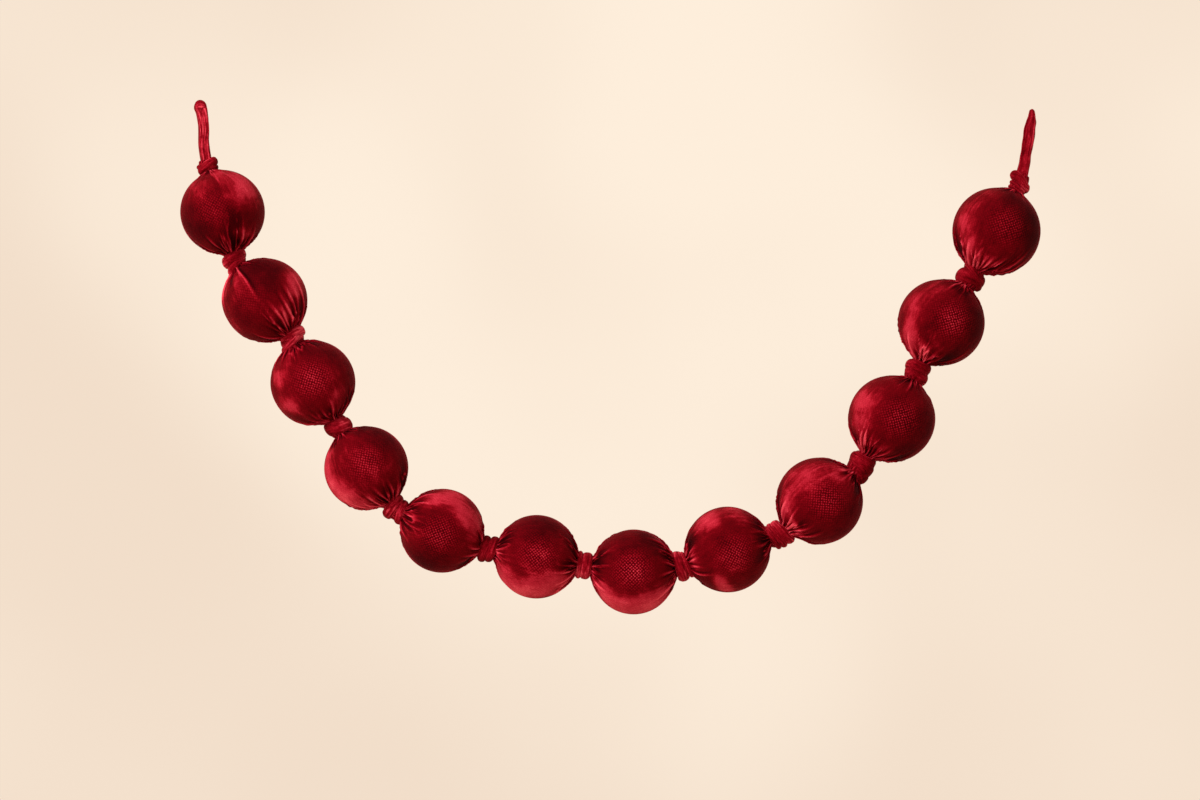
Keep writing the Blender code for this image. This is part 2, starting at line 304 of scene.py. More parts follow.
# %% The chain of balls and knots
# The first ball's middle and all the radii, in millimetres.
FIRST_BALL = (20.0, -96.8)
BALL_RADII = (37.6, 37.8, 37.9, 37.6, 37.6, 37.4, 38.0, 38.4, 38.9, 38.9, 38.8, 39.2)
# One row for each knot between balls: the distance from ball to ball there, how steeply that way
# falls in degrees, how far the knot sits to the outside of the curve and along it, and its width.
Link = namedtuple("Link", "pitch slope out along across")
LINKS = (
    Link(88.1, 64.3, 9.7, 0.5, 24.4),
    Link(85.7, 59.8, -4.0, -0.9, 26.4),
    Link(90.6, 58.0, 1.7, 1.6, 26.8),
    Link(88.6, 39.6, 12.5, 1.2, 24.6),
    Link(88.2, 15.4, 5.6, 0.5, 25.2),
    Link(88.3, 8.9, 1.3, 0.6, 24.8),
    Link(87.0, -13.4, 5.0, -0.9, 28.2),
    Link(93.5, -27.9, 10.8, 0.0, 26.4),
    Link(98.5, -48.7, 7.7, -0.8, 28.0),
    Link(97.4, -62.8, 0.9, -0.2, 26.4),
    Link(96.0, -58.8, 2.2, -1.0, 28.2),
)
# One row for each end knot: the ball it ties, its lean from upright in degrees, where the foot of
# its loop is, and its width.
End = namedtuple("End", "name ball lean foot across")
ENDS = (
    End("knot_left", 0, -17.8, (5.0, -50.2), 17.6),
    End("knot_right", 11, 25.5, (739.4, -64.0), 19.6),
)
# A ball's seat is the small circle on which its knot sits.
SEAT_RADIUS = 8.0
FRONT = np.array((0.0, -1.0, 0.0))
UP = np.array((0.0, 0.0, 1.0))


def flat(x, z):
    return np.array((x, 0.0, z))


def unit(v):
    return v / np.linalg.norm(v)


def outward(way):
    """Square to a way along the garland, to the outside of its curve."""
    return np.array((way[2], 0.0, -way[0]))


def lay_out():
    centres = [flat(*FIRST_BALL)]
    middles = []
    for link in LINKS:
        a = math.radians(link.slope)
        way = flat(math.cos(a), -math.sin(a))
        centres.append(centres[-1] + way * link.pitch)
        middles.append(centres[-2] + way * (link.pitch / 2 + link.along) + outward(way) * link.out)
    leans = [flat(math.sin(math.radians(e.lean)), math.cos(math.radians(e.lean))) for e in ENDS]
    back = [leans[0]] + [unit(m - c) for m, c in zip(middles, centres[1:])]
    ahead = [unit(m - c) for m, c in zip(middles, centres)] + [leans[1]]
    return centres, back, ahead


CENTRES, BACK, AHEAD = lay_out()
low, high = (np.array(c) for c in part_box("ball_07"))
print("ball 7 is off its solid by mm:", np.round((low + high) / 2 * 1000 - CENTRES[6], 2))

# %% [markdown]
# ## Meshes from rings
# Balls, knots and strips are all lofts: rows of points around a path. One function turns such rows
# into a mesh with outward faces and closed ends, and stores what the velvet needs on its points.


# %% A loft
def loft(name, rows, stored, uv=None, closed_path=False):
    """rows: array (rings, points, 3) in millimetres. stored: name to (rings, points) numbers."""
    rings, count = rows.shape[:2]
    index = np.arange(rings * count).reshape(rings, count)
    upper = np.roll(index, -1, axis=0) if closed_path else index[1:]
    lower = index if closed_path else index[:-1]
    upper_after = np.roll(upper, -1, axis=1)
    lower_after = np.roll(lower, -1, axis=1)
    quads = np.stack((lower_after, lower, upper, upper_after), axis=-1).reshape(-1, 4)
    points = rows.reshape(-1, 3) * MM
    faces = [tuple(q) for q in quads.tolist()]
    if not closed_path:
        faces.append(tuple(index[0].tolist()))
        faces.append(tuple(reversed(index[-1].tolist())))
    mesh = bpy.data.meshes.new(name)
    mesh.from_pydata(points.tolist(), [], faces)
    for what, amounts in stored.items():
        layer = mesh.attributes.new(what, "FLOAT", "POINT")
        layer.data.foreach_set("value", np.ascontiguousarray(amounts, dtype=np.float32).ravel())
    if uv is not None:
        layer = mesh.uv_layers.new(name="cloth")
        around, along = uv
        corners = np.zeros((len(mesh.loops), 2), dtype=np.float32)
        turns = np.tile(np.arange(count), len(lower))
        k = np.repeat(np.arange(len(lower)), count)
        for corner, (step, up) in enumerate(((1, 0), (0, 0), (0, 1), (1, 1))):
            corners[corner : len(quads) * 4 : 4, 0] = around * (turns + step) / count
            corners[corner : len(quads) * 4 : 4, 1] = along[k + up]
        layer.data.foreach_set("uv", corners.ravel())
    mesh.shade_smooth()
    return mesh


def add_piece(name, mesh):
    thing = bpy.data.objects.new(name, mesh)
    bpy.context.scene.collection.objects.link(thing)
    return thing


def smooth(value, start, end):
    """0 below start, 1 above end, soft between."""
    t = np.clip((value - start) / (end - start), 0.0, 1.0)
    return t * t * (3.0 - 2.0 * t)


print("lofts are ready")

# %% [markdown]
# ## The gathers, as Geometry Nodes
# The tube of velvet is too wide for the ball's ends, so it puckers into sharp ridges that run out
# from the knot and die away. Each ball could be simulated, but the ridges of such tight cloth follow
# a rule: they point at the knot, wander a little, and are deeper near it. The tree below reads each
# point's angle around the pole, asks a noise for a value there, and makes a crest wherever the noise
# passes its middle. It pushes the point out or in, and stores how much of a crest it is, for a
# painted highlight, and how much of a trough, for painted shade.

# %% The inputs of the tree
GATHER_SOCKETS = (
    ("Centre", "NodeSocketVector"),
    ("Radius", "NodeSocketFloat"),
    ("Back Pole", "NodeSocketVector"),
    ("Ahead Pole", "NodeSocketVector"),
    ("Back Depth", "NodeSocketFloat"),
    ("Ahead Depth", "NodeSocketFloat"),
    ("Back Reach", "NodeSocketFloat"),
    ("Ahead Reach", "NodeSocketFloat"),
    ("Folds", "NodeSocketFloat"),
    ("Seed", "NodeSocketFloat"),
    ("Velvet", "NodeSocketMaterial"),
)
# How fast the ridges wander on their way from the knot, and how wide they are there.
MAIN_WANDER = 24.0
MAIN_WIDTH = 11.0 * MM
SMALL_COUNT = 2.3
SMALL_WANDER = 40.0
SMALL_WIDTH = 12.0 * MM
SMALL_LIFT = 0.22
# Powers that sharpen a ridge, and its crest still more.
RIDGE_POWER = 1.5
CREST_POWER = 2.6
END_SEED_STEP = 7.3
print("inputs:", [name for name, _ in GATHER_SOCKETS])


# %% The tree of gathers
def gather_tree():
    group = bpy.data.node_groups.new("gathered velvet", "GeometryNodeTree")
    face = group.interface
    face.new_socket("Geometry", in_out="INPUT", socket_type="NodeSocketGeometry")
    for name, kind in GATHER_SOCKETS:
        face.new_socket(name, in_out="INPUT", socket_type=kind)
    face.new_socket("Geometry", in_out="OUTPUT", socket_type="NodeSocketGeometry")
    tree = Tree(group)
    given = group.nodes.new("NodeGroupInput")
    inputs = {name: Value(tree, given.outputs[name]) for name, _ in GATHER_SOCKETS}
    position = tree.add("GeometryNodeInputPosition")
    out = (position - inputs["Centre"]).call("NORMALIZE")
    push, crest_highlights, trough_shades, streaks = None, None, None, None
    for k, end in enumerate(("Back", "Ahead")):
        pole = inputs[f"{end} Pole"]
        facing = out.call("DOT_PRODUCT", pole, out="Value")
        away = facing.call("ARCCOSINE") * inputs["Radius"]
        around = (out - pole * facing).call("NORMALIZE")
        seed = inputs["Seed"] + END_SEED_STEP * k

        def folds(count, wander, shift):
            walk = seed + shift + away * wander
            spot = {"Vector": around * count, "W": walk, "Scale": 1.0, "Detail": 1.0}
            return tree.add("ShaderNodeTexNoise", {"noise_dimensions": "4D"}, spot)

        def ridges(count, wander, shift, width):
            off_middle = (folds(count, wander, shift) - 0.5).call("ABSOLUTE")
            return 1.0 - (off_middle * (away / width + 0.45) * 7.0).call("MINIMUM", 1.0)

        main = ridges(inputs["Folds"], MAIN_WANDER, 0.0, MAIN_WIDTH)
        small = ridges(inputs["Folds"] * SMALL_COUNT, SMALL_WANDER, 3.0, SMALL_WIDTH)
        length = inputs[f"{end} Reach"] * (folds(1.6, 0.0, 5.0).smooth(0.3, 0.7) * 1.0 + 0.45)
        fade = 1.0 - (away / length).smooth(0.35, 1.0)
        short = 1.0 - (away / length).smooth(0.2, 0.75)
        ridge = main.call("POWER", RIDGE_POWER)
        lift = inputs[f"{end} Depth"] * (
            (ridge - 0.45) * fade + (small.call("POWER", RIDGE_POWER) - 0.4) * short * SMALL_LIFT
        )
        # A crest is kept for a painted highlight, a trough for painted shade.
        small_crest = small.call("POWER", CREST_POWER) * short * 0.45
        crest = main.call("POWER", CREST_POWER) * fade + small_crest
        trough = (1.0 - ridge * 1.6).call("MAXIMUM", 0.0) * fade * fade
        push = lift if push is None else push + lift
        crest_highlights = crest if crest_highlights is None else crest_highlights + crest
        trough_shades = trough if trough_shades is None else trough_shades + trough
        nearer = facing.smooth(-0.25, 0.25)
        streak = folds(19.0, 60.0, 9.0) * nearer
        streaks = streak if streaks is None else streaks + streak
    moved = tree.add(
        "GeometryNodeSetPosition", None, {"Geometry": given.outputs["Geometry"], "Offset": out * push}
    )
    for what, amount in (("crest", crest_highlights), ("trough", trough_shades), ("streak", streaks)):
        moved = tree.add(
            "GeometryNodeStoreNamedAttribute",
            {"data_type": "FLOAT", "domain": "POINT"},
            {"Geometry": moved, "Name": what, "Value": amount.call("MINIMUM", 1.0)},
        )
    whole = tree.add("GeometryNodeRealizeInstances", None, {"Geometry": moved})
    dressed = tree.add("GeometryNodeSetMaterial", None, {"Geometry": whole, "Material": inputs["Velvet"]})
    result = group.nodes.new("NodeGroupOutput")
    tree.feed(result.inputs["Geometry"], dressed)
    return group


GATHERS = gather_tree()
print("tree of gathers:", len(GATHERS.nodes), "nodes")


# %% A tree's result as plain mesh
def worked(thing, group, values):
    """Runs a tree on a piece with these inputs, and keeps the result as its plain mesh."""
    modifier = thing.modifiers.new("made", "NODES")
    modifier.node_group = group
    sockets = {s.name: s.identifier for s in group.interface.items_tree if s.in_out == "INPUT"}
    for name, value in values.items():
        modifier[sockets[name]] = value
    thing.update_tag()
    graph = bpy.context.evaluated_depsgraph_get()
    mesh = bpy.data.meshes.new_from_object(thing.evaluated_get(graph), depsgraph=graph)
    thing.modifiers.remove(modifier)
    old = thing.data
    thing.data = mesh
    bpy.data.meshes.remove(old)
    mesh.name = thing.name
    return mesh


print("a tree's inputs are set by identifier, then its result is kept")

# %% [markdown]
# ## The balls
# Each cover starts as a round loft from pole to pole, finest near the poles. The poles aren't quite
# opposite each other, because the knots sit a little off the line of the balls. Long single folds
# and the places where the nap is brushed light, painted as sheen, are listed one by one, as the
# clock shows them from the front: 12 is up, 3 is right.

# %% What each ball looks like
# Fold depth and reach in millimetres toward the knot behind and the one ahead, folds around, and
# how clearly the dotted ground shows with its painted glint and where on the disc, to the right and
# up from its middle.
Cover = namedtuple("Cover", "back_depth back_reach ahead_depth ahead_reach folds dots dots_x dots_z")
COVERS = (
    Cover(0.7, 20, 2.1, 50, 4.6, 0.50, -0.10, 0.00),
    Cover(1.4, 34, 2.1, 54, 4.8, 0.22, -0.30, 0.00),
    Cover(1.6, 34, 1.9, 38, 4.6, 0.90, 0.08, 0.08),
    Cover(1.0, 26, 2.0, 46, 4.6, 0.75, 0.08, 0.16),
    Cover(1.8, 40, 1.7, 32, 4.8, 0.95, 0.00, -0.06),
    Cover(1.7, 34, 1.8, 38, 4.6, 0.90, 0.05, 0.10),
    Cover(1.8, 38, 1.8, 40, 4.6, 1.10, -0.03, 0.10),
    Cover(1.8, 40, 1.7, 38, 4.6, 0.90, 0.12, -0.06),
    Cover(2.1, 46, 1.7, 34, 4.6, 0.85, 0.12, 0.04),
    Cover(2.0, 42, 1.4, 30, 4.8, 1.00, 0.12, 0.02),
    Cover(2.1, 42, 1.4, 30, 4.6, 1.05, 0.16, 0.04),
    Cover(2.2, 46, 0.8, 24, 4.6, 0.80, 0.16, 0.10),
)
print("covers:", len(COVERS))

# %% Patches of brushed nap, painted as sheen and shade
# Where the nap is brushed light or dark on the side that shows, painted sheen where light and painted
# shade where dark: ball, clock hour, how far from the middle of the disc (1 is its rim), size against
# the radius, strength (below 0 is painted shade).
Patch = namedtuple("Patch", "ball hour out size strength")
PATCHES = (
    Patch(1, 1.8, 0.80, 0.56, 0.66), Patch(1, 10.6, 0.75, 0.40, 0.24), Patch(1, 4.6, 0.85, 0.35, 0.42),
    Patch(1, 8.0, 0.65, 0.50, -0.45), Patch(1, 3.6, 0.40, 0.30, -0.35),
    Patch(1, 12.0, 0.55, 0.25, -0.15),
    Patch(2, 2.2, 0.85, 0.50, 0.86), Patch(2, 9.5, 0.92, 0.35, 0.45), Patch(2, 7.4, 0.90, 0.35, 0.30),
    Patch(2, 0.5, 0.70, 0.50, -0.25), Patch(2, 7.0, 0.55, 0.35, -0.30),
    Patch(2, 4.4, 0.75, 0.45, 0.50),
    Patch(3, 9.5, 0.80, 0.42, 0.62), Patch(3, 7.4, 0.70, 0.42, 0.80),
    Patch(3, 12.5, 0.80, 0.50, -0.15), Patch(3, 4.0, 0.80, 0.45, 0.43),
    Patch(3, 11.0, 0.75, 0.30, 0.30), Patch(3, 6.2, 0.90, 0.30, 0.35), Patch(3, 6.0, 0.30, 1.10, 0.14),
    Patch(4, 9.0, 0.95, 0.60, 0.80), Patch(4, 7.4, 0.88, 0.55, 0.95), Patch(4, 1.0, 0.80, 0.55, -0.40),
    Patch(4, 6.0, 0.30, 1.10, 0.18), Patch(4, 5.6, 0.80, 0.35, 0.35), Patch(4, 3.2, 0.85, 0.40, 0.24),
    Patch(4, 11.3, 0.80, 0.35, 0.25),
    Patch(5, 0.8, 0.80, 0.55, 0.78), Patch(5, 2.4, 0.90, 0.50, 0.75), Patch(5, 11.4, 0.75, 0.40, 0.55),
    Patch(5, 6.8, 0.80, 0.60, -0.62), Patch(5, 9.2, 0.75, 0.35, 0.25), Patch(5, 4.6, 0.75, 0.40, 0.18),
    Patch(6, 6.8, 0.88, 0.58, 1.05), Patch(6, 8.2, 0.90, 0.40, 0.60), Patch(6, 5.0, 0.85, 0.48, 0.85),
    Patch(6, 12.4, 0.75, 0.60, -0.42), Patch(6, 6.0, 0.30, 1.10, 0.20),
    Patch(6, 3.0, 0.75, 0.35, 0.06), Patch(6, 9.4, 0.85, 0.30, 0.25),
    Patch(7, 6.4, 0.88, 0.60, 1.05), Patch(7, 7.8, 0.90, 0.48, 0.85), Patch(7, 4.8, 0.86, 0.48, 0.85),
    Patch(7, 12.2, 0.75, 0.60, -0.45), Patch(7, 4.5, 0.45, 1.10, 0.18),
    Patch(7, 3.0, 0.70, 0.30, -0.10), Patch(7, 12.0, 1.00, 0.20, 0.30),
    Patch(8, 10.8, 0.85, 0.50, 0.95), Patch(8, 12.6, 0.88, 0.40, 0.70),
    Patch(8, 6.4, 0.80, 0.36, 0.90), Patch(8, 4.0, 0.80, 0.50, -0.12), Patch(8, 6.0, 0.30, 1.10, 0.14),
    Patch(8, 8.6, 0.90, 0.35, 0.50), Patch(8, 10.6, 0.35, 0.30, -0.30),
    Patch(9, 10.8, 0.75, 0.55, 0.62), Patch(9, 8.8, 0.85, 0.45, 0.60),
    Patch(9, 12.8, 0.80, 0.42, 0.62), Patch(9, 4.2, 0.80, 0.60, -0.22),
    Patch(9, 7.6, 0.85, 0.35, 0.60), Patch(9, 2.6, 0.90, 0.40, -0.15),
    Patch(10, 10.2, 0.80, 0.55, 0.62), Patch(10, 8.4, 0.88, 0.45, 0.52),
    Patch(10, 12.0, 0.85, 0.35, 0.35), Patch(10, 3.6, 0.80, 0.65, -0.28),
    Patch(10, 5.6, 0.85, 0.40, -0.35), Patch(10, 7.0, 0.80, 0.30, 0.40),
    Patch(11, 10.0, 0.82, 0.45, 0.70), Patch(11, 8.2, 0.85, 0.42, 0.85),
    Patch(11, 11.6, 0.80, 0.35, 0.45), Patch(11, 3.4, 0.80, 0.65, -0.65),
    Patch(11, 7.0, 0.82, 0.38, 1.10), Patch(11, 9.0, 0.35, 0.25, -0.20),
    Patch(12, 9.4, 0.85, 0.50, 0.56), Patch(12, 11.2, 0.85, 0.40, 0.24),
    Patch(12, 7.6, 0.85, 0.45, 0.62), Patch(12, 3.0, 0.80, 0.65, -0.60),
    Patch(12, 6.4, 0.85, 0.35, 0.30), Patch(12, 12.8, 0.80, 0.35, -0.30),
)
print("brushed patches:", len(PATCHES))

# %% Wedges of nap
# Wedges of nap that start at a tied end and keep a straight edge, painted sheen above 0 and painted
# shade below: ball, pole (0 behind, 1 ahead), the two turns they lie between (as for the folds
# below), length in millimetres and strength.
Wedge = namedtuple("Wedge", "ball end first last length strength")
WEDGES = (
    Wedge(1, 0, 102, 164, 66, 0.54), Wedge(1, 0, 58, 101, 58, 0.10), Wedge(1, 0, 14, 57, 50, 0.30),
    Wedge(2, 0, 90, 152, 74, -0.30), Wedge(2, 0, 66, 89, 58, 0.42), Wedge(2, 0, 8, 34, 60, 0.36),
    Wedge(3, 0, 76, 120, 46, -0.16), Wedge(4, 1, 20, 60, 60, 0.30), Wedge(5, 0, 84, 112, 40, 0.26),
    Wedge(6, 1, 40, 74, 46, 0.20), Wedge(7, 1, 34, 78, 52, 0.26), Wedge(7, 0, 30, 66, 50, 0.22),
    Wedge(8, 1, 60, 100, 44, -0.24), Wedge(9, 0, 104, 140, 62, 0.30), Wedge(9, 0, 60, 100, 40, 0.18),
    Wedge(10, 0, 112, 150, 70, 0.26), Wedge(10, 1, 70, 104, 34, -0.20),
    Wedge(11, 1, 84, 130, 44, 0.22), Wedge(11, 0, 84, 120, 34, 0.26), Wedge(12, 0, 116, 160, 80, 0.26),
    Wedge(12, 0, 70, 112, 34, 0.26), Wedge(12, 1, 90, 116, 50, -0.18),
)
print("wedges:", len(WEDGES))

# %% Single folds
# Ball, pole (0 behind, 1 ahead), turn in degrees (0 to the curve's outside, 90 over
# the middle of the front, 180 to its inside), length and height in millimetres.
Fold = namedtuple("Fold", "ball end turn length height")
FOLDS = (
    Fold(1, 1, 96, 40, 0.9), Fold(1, 1, 124, 46, 1.0), Fold(1, 1, 62, 44, 0.8),
    Fold(1, 1, 30, 40, 0.7), Fold(1, 1, 150, 44, 0.9),
    Fold(2, 0, 88, 66, 1.3), Fold(2, 1, 98, 58, 0.9), Fold(2, 1, 118, 62, 1.0),
    Fold(2, 1, 140, 56, 0.9), Fold(2, 1, 44, 44, 0.8), Fold(2, 0, 24, 52, 0.9),
    Fold(2, 0, 48, 34, 0.8), Fold(2, 1, 130, 68, 0.9), Fold(2, 1, 156, 66, 0.8),
    Fold(2, 1, 108, 54, 0.9), Fold(2, 1, 74, 42, 0.9), Fold(2, 0, 10, 60, 0.7),
    Fold(3, 1, 64, 40, 1.0), Fold(3, 1, 84, 36, 0.8), Fold(3, 0, 52, 34, 0.9), Fold(3, 1, 20, 48, 0.8),
    Fold(3, 1, 6, 62, 0.7), Fold(3, 1, 104, 40, 0.9), Fold(3, 0, 30, 40, 0.9), Fold(3, 0, 74, 30, 0.8),
    Fold(4, 1, 88, 44, 1.0), Fold(4, 1, 112, 42, 0.9), Fold(4, 1, 66, 46, 0.9),
    Fold(4, 1, 30, 52, 0.9), Fold(4, 1, 134, 34, 0.8),
    Fold(5, 0, 98, 36, 0.9), Fold(5, 0, 76, 40, 0.9), Fold(5, 0, 128, 44, 0.9),
    Fold(5, 1, 84, 32, 0.8), Fold(5, 0, 150, 48, 0.8), Fold(5, 0, 50, 36, 0.8),
    Fold(5, 1, 60, 34, 0.8),
    Fold(6, 1, 72, 38, 0.9), Fold(6, 0, 72, 30, 0.8), Fold(6, 1, 104, 30, 0.7),
    Fold(6, 1, 136, 46, 1.0), Fold(6, 1, 20, 50, 0.8), Fold(6, 1, 50, 40, 0.8),
    Fold(6, 0, 100, 30, 0.8),
    Fold(7, 1, 80, 40, 1.0), Fold(7, 0, 50, 38, 0.9), Fold(7, 1, 42, 46, 0.9),
    Fold(7, 1, 132, 42, 1.1), Fold(7, 1, 150, 50, 0.9), Fold(7, 0, 76, 30, 0.8),
    Fold(7, 1, 104, 34, 0.9),
    Fold(8, 0, 96, 34, 1.0), Fold(8, 0, 62, 44, 0.9), Fold(8, 1, 84, 38, 0.8),
    Fold(8, 1, 112, 40, 0.8), Fold(8, 0, 120, 36, 0.9), Fold(8, 0, 78, 34, 0.8),
    Fold(9, 0, 106, 46, 1.3), Fold(9, 0, 72, 44, 1.2), Fold(9, 0, 134, 42, 1.0),
    Fold(9, 1, 88, 32, 0.9), Fold(9, 0, 90, 36, 1.0), Fold(9, 0, 54, 50, 1.0),
    Fold(10, 0, 82, 38, 1.1), Fold(10, 0, 106, 44, 1.1), Fold(10, 0, 130, 42, 0.9),
    Fold(10, 1, 96, 36, 0.9), Fold(10, 0, 94, 34, 1.0), Fold(10, 0, 66, 40, 0.9),
    Fold(11, 0, 80, 34, 1.1), Fold(11, 0, 112, 38, 1.1), Fold(11, 0, 140, 42, 0.9),
    Fold(11, 1, 120, 40, 0.9), Fold(11, 0, 34, 54, 0.7), Fold(11, 0, 96, 34, 1.0),
    Fold(11, 0, 62, 38, 1.0),
    Fold(12, 0, 88, 36, 1.1), Fold(12, 0, 112, 42, 1.1), Fold(12, 0, 64, 44, 1.1),
    Fold(12, 0, 24, 60, 0.8), Fold(12, 0, 8, 74, 0.7), Fold(12, 0, 38, 66, 0.7),
    Fold(12, 0, 100, 40, 1.0), Fold(12, 0, 76, 38, 1.0), Fold(12, 0, 128, 44, 1.0),
    Fold(12, 0, 50, 46, 0.9),
)
print("single folds:", len(FOLDS))

# %% [markdown]
# ## Directions over a ball
# A cover's rows are rings of directions from the middle of its ball. The rings near a tied end are
# tilted toward it, and the tilt fades out by the ball's middle. A few slow waves give the small
# unevenness of any sewn ball.

# %% Rings of directions
# The rings start a little off the pole, where the knot's neck hides the small flat cap.
TIP_ANGLE = math.radians(5.0)
BEND_FADE = math.radians(75.0)
SLOW_WAVES = 7
FULL_TURN = 2.0 * math.pi


def ball_directions(number, angles, count):
    """Unit ways from the ball's centre to rings of points at these angles from its pole behind."""
    back, ahead = BACK[number], AHEAD[number]
    axis = unit(ahead - back)
    side = outward(axis)
    near = np.minimum(angles, math.pi - angles)
    tilt = np.where(angles < math.pi / 2, math.asin(side @ back), -math.asin(side @ ahead))
    tilt = tilt * (1.0 - smooth(near, TIP_ANGLE, BEND_FADE))
    turns = np.arange(count) * FULL_TURN / count
    ring = np.cos(turns)[:, None] * side + np.sin(turns)[:, None] * FRONT
    ways = -np.cos(angles)[:, None, None] * axis + np.sin(angles)[:, None, None] * ring
    # Tilting a ring about the front axis, X toward Z.
    c, s = np.cos(tilt)[:, None], np.sin(tilt)[:, None]
    x, z = ways[..., 0].copy(), ways[..., 2].copy()
    ways[..., 0] = c * x - s * z
    ways[..., 2] = s * x + c * z
    return ways


def wavering(ways, seed):
    """A slow unevenness over the ball, about -1 to 1, from a few waves in random directions."""
    uneven = np.random.default_rng(seed)
    total = np.zeros(ways.shape[:2])
    for _ in range(SLOW_WAVES):
        wave = unit(uneven.normal(size=3)) * uneven.uniform(3.0, 9.0)
        total += np.sin(ways @ wave + uneven.uniform(0.0, 6.3)) / 2.6
    return total


print("a ball's rows:", ball_directions(0, np.array((0.5, 1.0, 2.0)), 8).shape)

# %% [markdown]
# ## The padding, simulated
# A filled ball isn't a perfect sphere: its cloth is slack here and there, and the filling pushes it
# out between the tied ends. The covers could be bent by noise alone, but a cloth simulation knows
# where such cloth gives. It settles them all together, as coarse balls that start a little slim, are
# held at their ends, and are blown up by a slight pressure with no gravity. Only how far each point
# moved is kept. The fine covers take that up below, and their gathers come after it.

# %% The coarse covers
SIM_COUNT = 48
SIM_ANGLES = np.linspace(TIP_ANGLE, math.pi - TIP_ANGLE, 25)
HELD_ANGLE = math.radians(15.0)
START_SLIM = 0.1
PUCKERS = 13
PUCKER_DEPTH = 1.2
PUCKER_SPREAD = 0.55


def coarse_covers():
    """Rest and starting places of the coarse covers, and how slack and how held each point is."""
    rest, start, slack, held = [], [], [], []
    near = np.minimum(SIM_ANGLES, math.pi - SIM_ANGLES)
    turns = np.arange(SIM_COUNT) * FULL_TURN / SIM_COUNT
    for number, radius in enumerate(BALL_RADII):
        ways = ball_directions(number, SIM_ANGLES, SIM_COUNT)
        pucker = 0.5 + 0.5 * np.cos(PUCKERS * turns + number)
        pucker = np.exp(-((near / PUCKER_SPREAD) ** 2))[:, None] * pucker
        rest.append(CENTRES[number] + ways * radius)
        start.append(rest[-1] - ways * (START_SLIM + PUCKER_DEPTH * pucker)[..., None])
        slack.append(np.clip(0.5 + 0.5 * wavering(ways, 700 + number) + 0.4 * pucker, 0.0, 1.0))
        held.append(np.repeat(near < HELD_ANGLE, SIM_COUNT))
    return np.array(rest), np.array(start), np.array(slack).ravel(), np.array(held).ravel()


print("coarse covers of", len(SIM_ANGLES), "rings of", SIM_COUNT, "points")

# %% [markdown]
# ## Swelling and settling
# The tied ends are held, a slack map says where the cloth is wider than the ball, and pressure
# lifts it there. Twenty frames are enough for it to come to rest. The ball under the velvet is
# firm, so a point that moved further than the cap is brought back to it.

# %% The covers settled
SIM_FRAMES = 20
SIM_QUALITY = 4
SLACK = 0.07
SLACK_LEVELS = 10
PRESSURE = 4.0
MOST_MOVE = 1.3


def settled_covers():
    """How far each point of the coarse covers moves, in millimetres."""
    rest, start, slack, held = coarse_covers()
    start = np.where(held.reshape(rest.shape[:3])[..., None], rest, start)
    index = np.arange(rest.size // 3).reshape(rest.shape[:3])
    after = np.roll(index, -1, axis=2)
    quads = np.stack((after[:, :-1], index[:, :-1], index[:, 1:], after[:, 1:]), axis=-1).reshape(-1, 4)
    faces = quads.tolist()
    for ball in index:
        faces += [ball[0].tolist(), ball[-1][::-1].tolist()]
    mesh = bpy.data.meshes.new("padding")
    mesh.from_pydata((start.reshape(-1, 3) * MM).tolist(), [], faces)
    thing = add_piece("padding", mesh)
    tied = thing.vertex_groups.new(name="tied")
    tied.add(np.flatnonzero(held).tolist(), 1.0, "REPLACE")
    loose = thing.vertex_groups.new(name="slack")
    for level in range(SLACK_LEVELS + 1):
        some = np.flatnonzero(np.round(slack * SLACK_LEVELS) == level)
        loose.add(some.tolist(), level / SLACK_LEVELS, "REPLACE")
    cloth = thing.modifiers.new("cloth", "CLOTH")
    cloth.settings.quality = SIM_QUALITY
    cloth.settings.vertex_group_mass = "tied"
    cloth.settings.vertex_group_shrink = "slack"
    cloth.settings.shrink_max = -SLACK
    cloth.settings.use_pressure = True
    cloth.settings.uniform_pressure_force = PRESSURE
    cloth.settings.effector_weights.gravity = 0.0
    cloth.collision_settings.use_collision = False
    cloth.point_cache.frame_start, cloth.point_cache.frame_end = 1, SIM_FRAMES
    scene = bpy.context.scene
    for frame_number in range(1, SIM_FRAMES + 1):
        scene.frame_set(frame_number)
    settled = thing.evaluated_get(bpy.context.evaluated_depsgraph_get()).to_mesh()
    places = np.zeros(rest.size)
    settled.vertices.foreach_get("co", places)
    scene.frame_set(1)
    bpy.data.objects.remove(thing)
    move = places.reshape(rest.shape) / MM - rest
    size = np.linalg.norm(move, axis=-1, keepdims=True)
    print("settled: moved by mm", np.round(np.percentile(size, (50, 95, 100)), 2))
    return move * np.minimum(1.0, MOST_MOVE / np.maximum(size, 0.001))


MOVES = settled_covers()
print("moves kept for", len(MOVES), "covers")


# %% The settled shape, read at finer points
def between(values, places, closed):
    """Values at fractional places along the first axis, on a smooth curve through their neighbours."""
    k = np.floor(places).astype(int)
    t = (places - k)[:, None, None]
    end = len(values) - 1
    near = [(k + j) % len(values) if closed else np.clip(k + j, 0, end) for j in (-1, 0, 1, 2)]
    a, b, c, d = (values[one] for one in near)
    return b + 0.5 * t * (c - a + t * (2 * a - 5 * b + 4 * c - d + t * (3 * (b - c) + d - a)))


def finer(move, angles, count):
    """A coarse cover's moves, read at the rings and points of the fine one."""
    rings = (angles - SIM_ANGLES[0]) / (SIM_ANGLES[1] - SIM_ANGLES[0])
    by_ring = between(move, rings, closed=False)
    turns = np.arange(count) * SIM_COUNT / count
    return between(by_ring.transpose(1, 0, 2), turns, closed=True).transpose(1, 0, 2)


MERIDIANS = 216
HALF_RINGS = 52
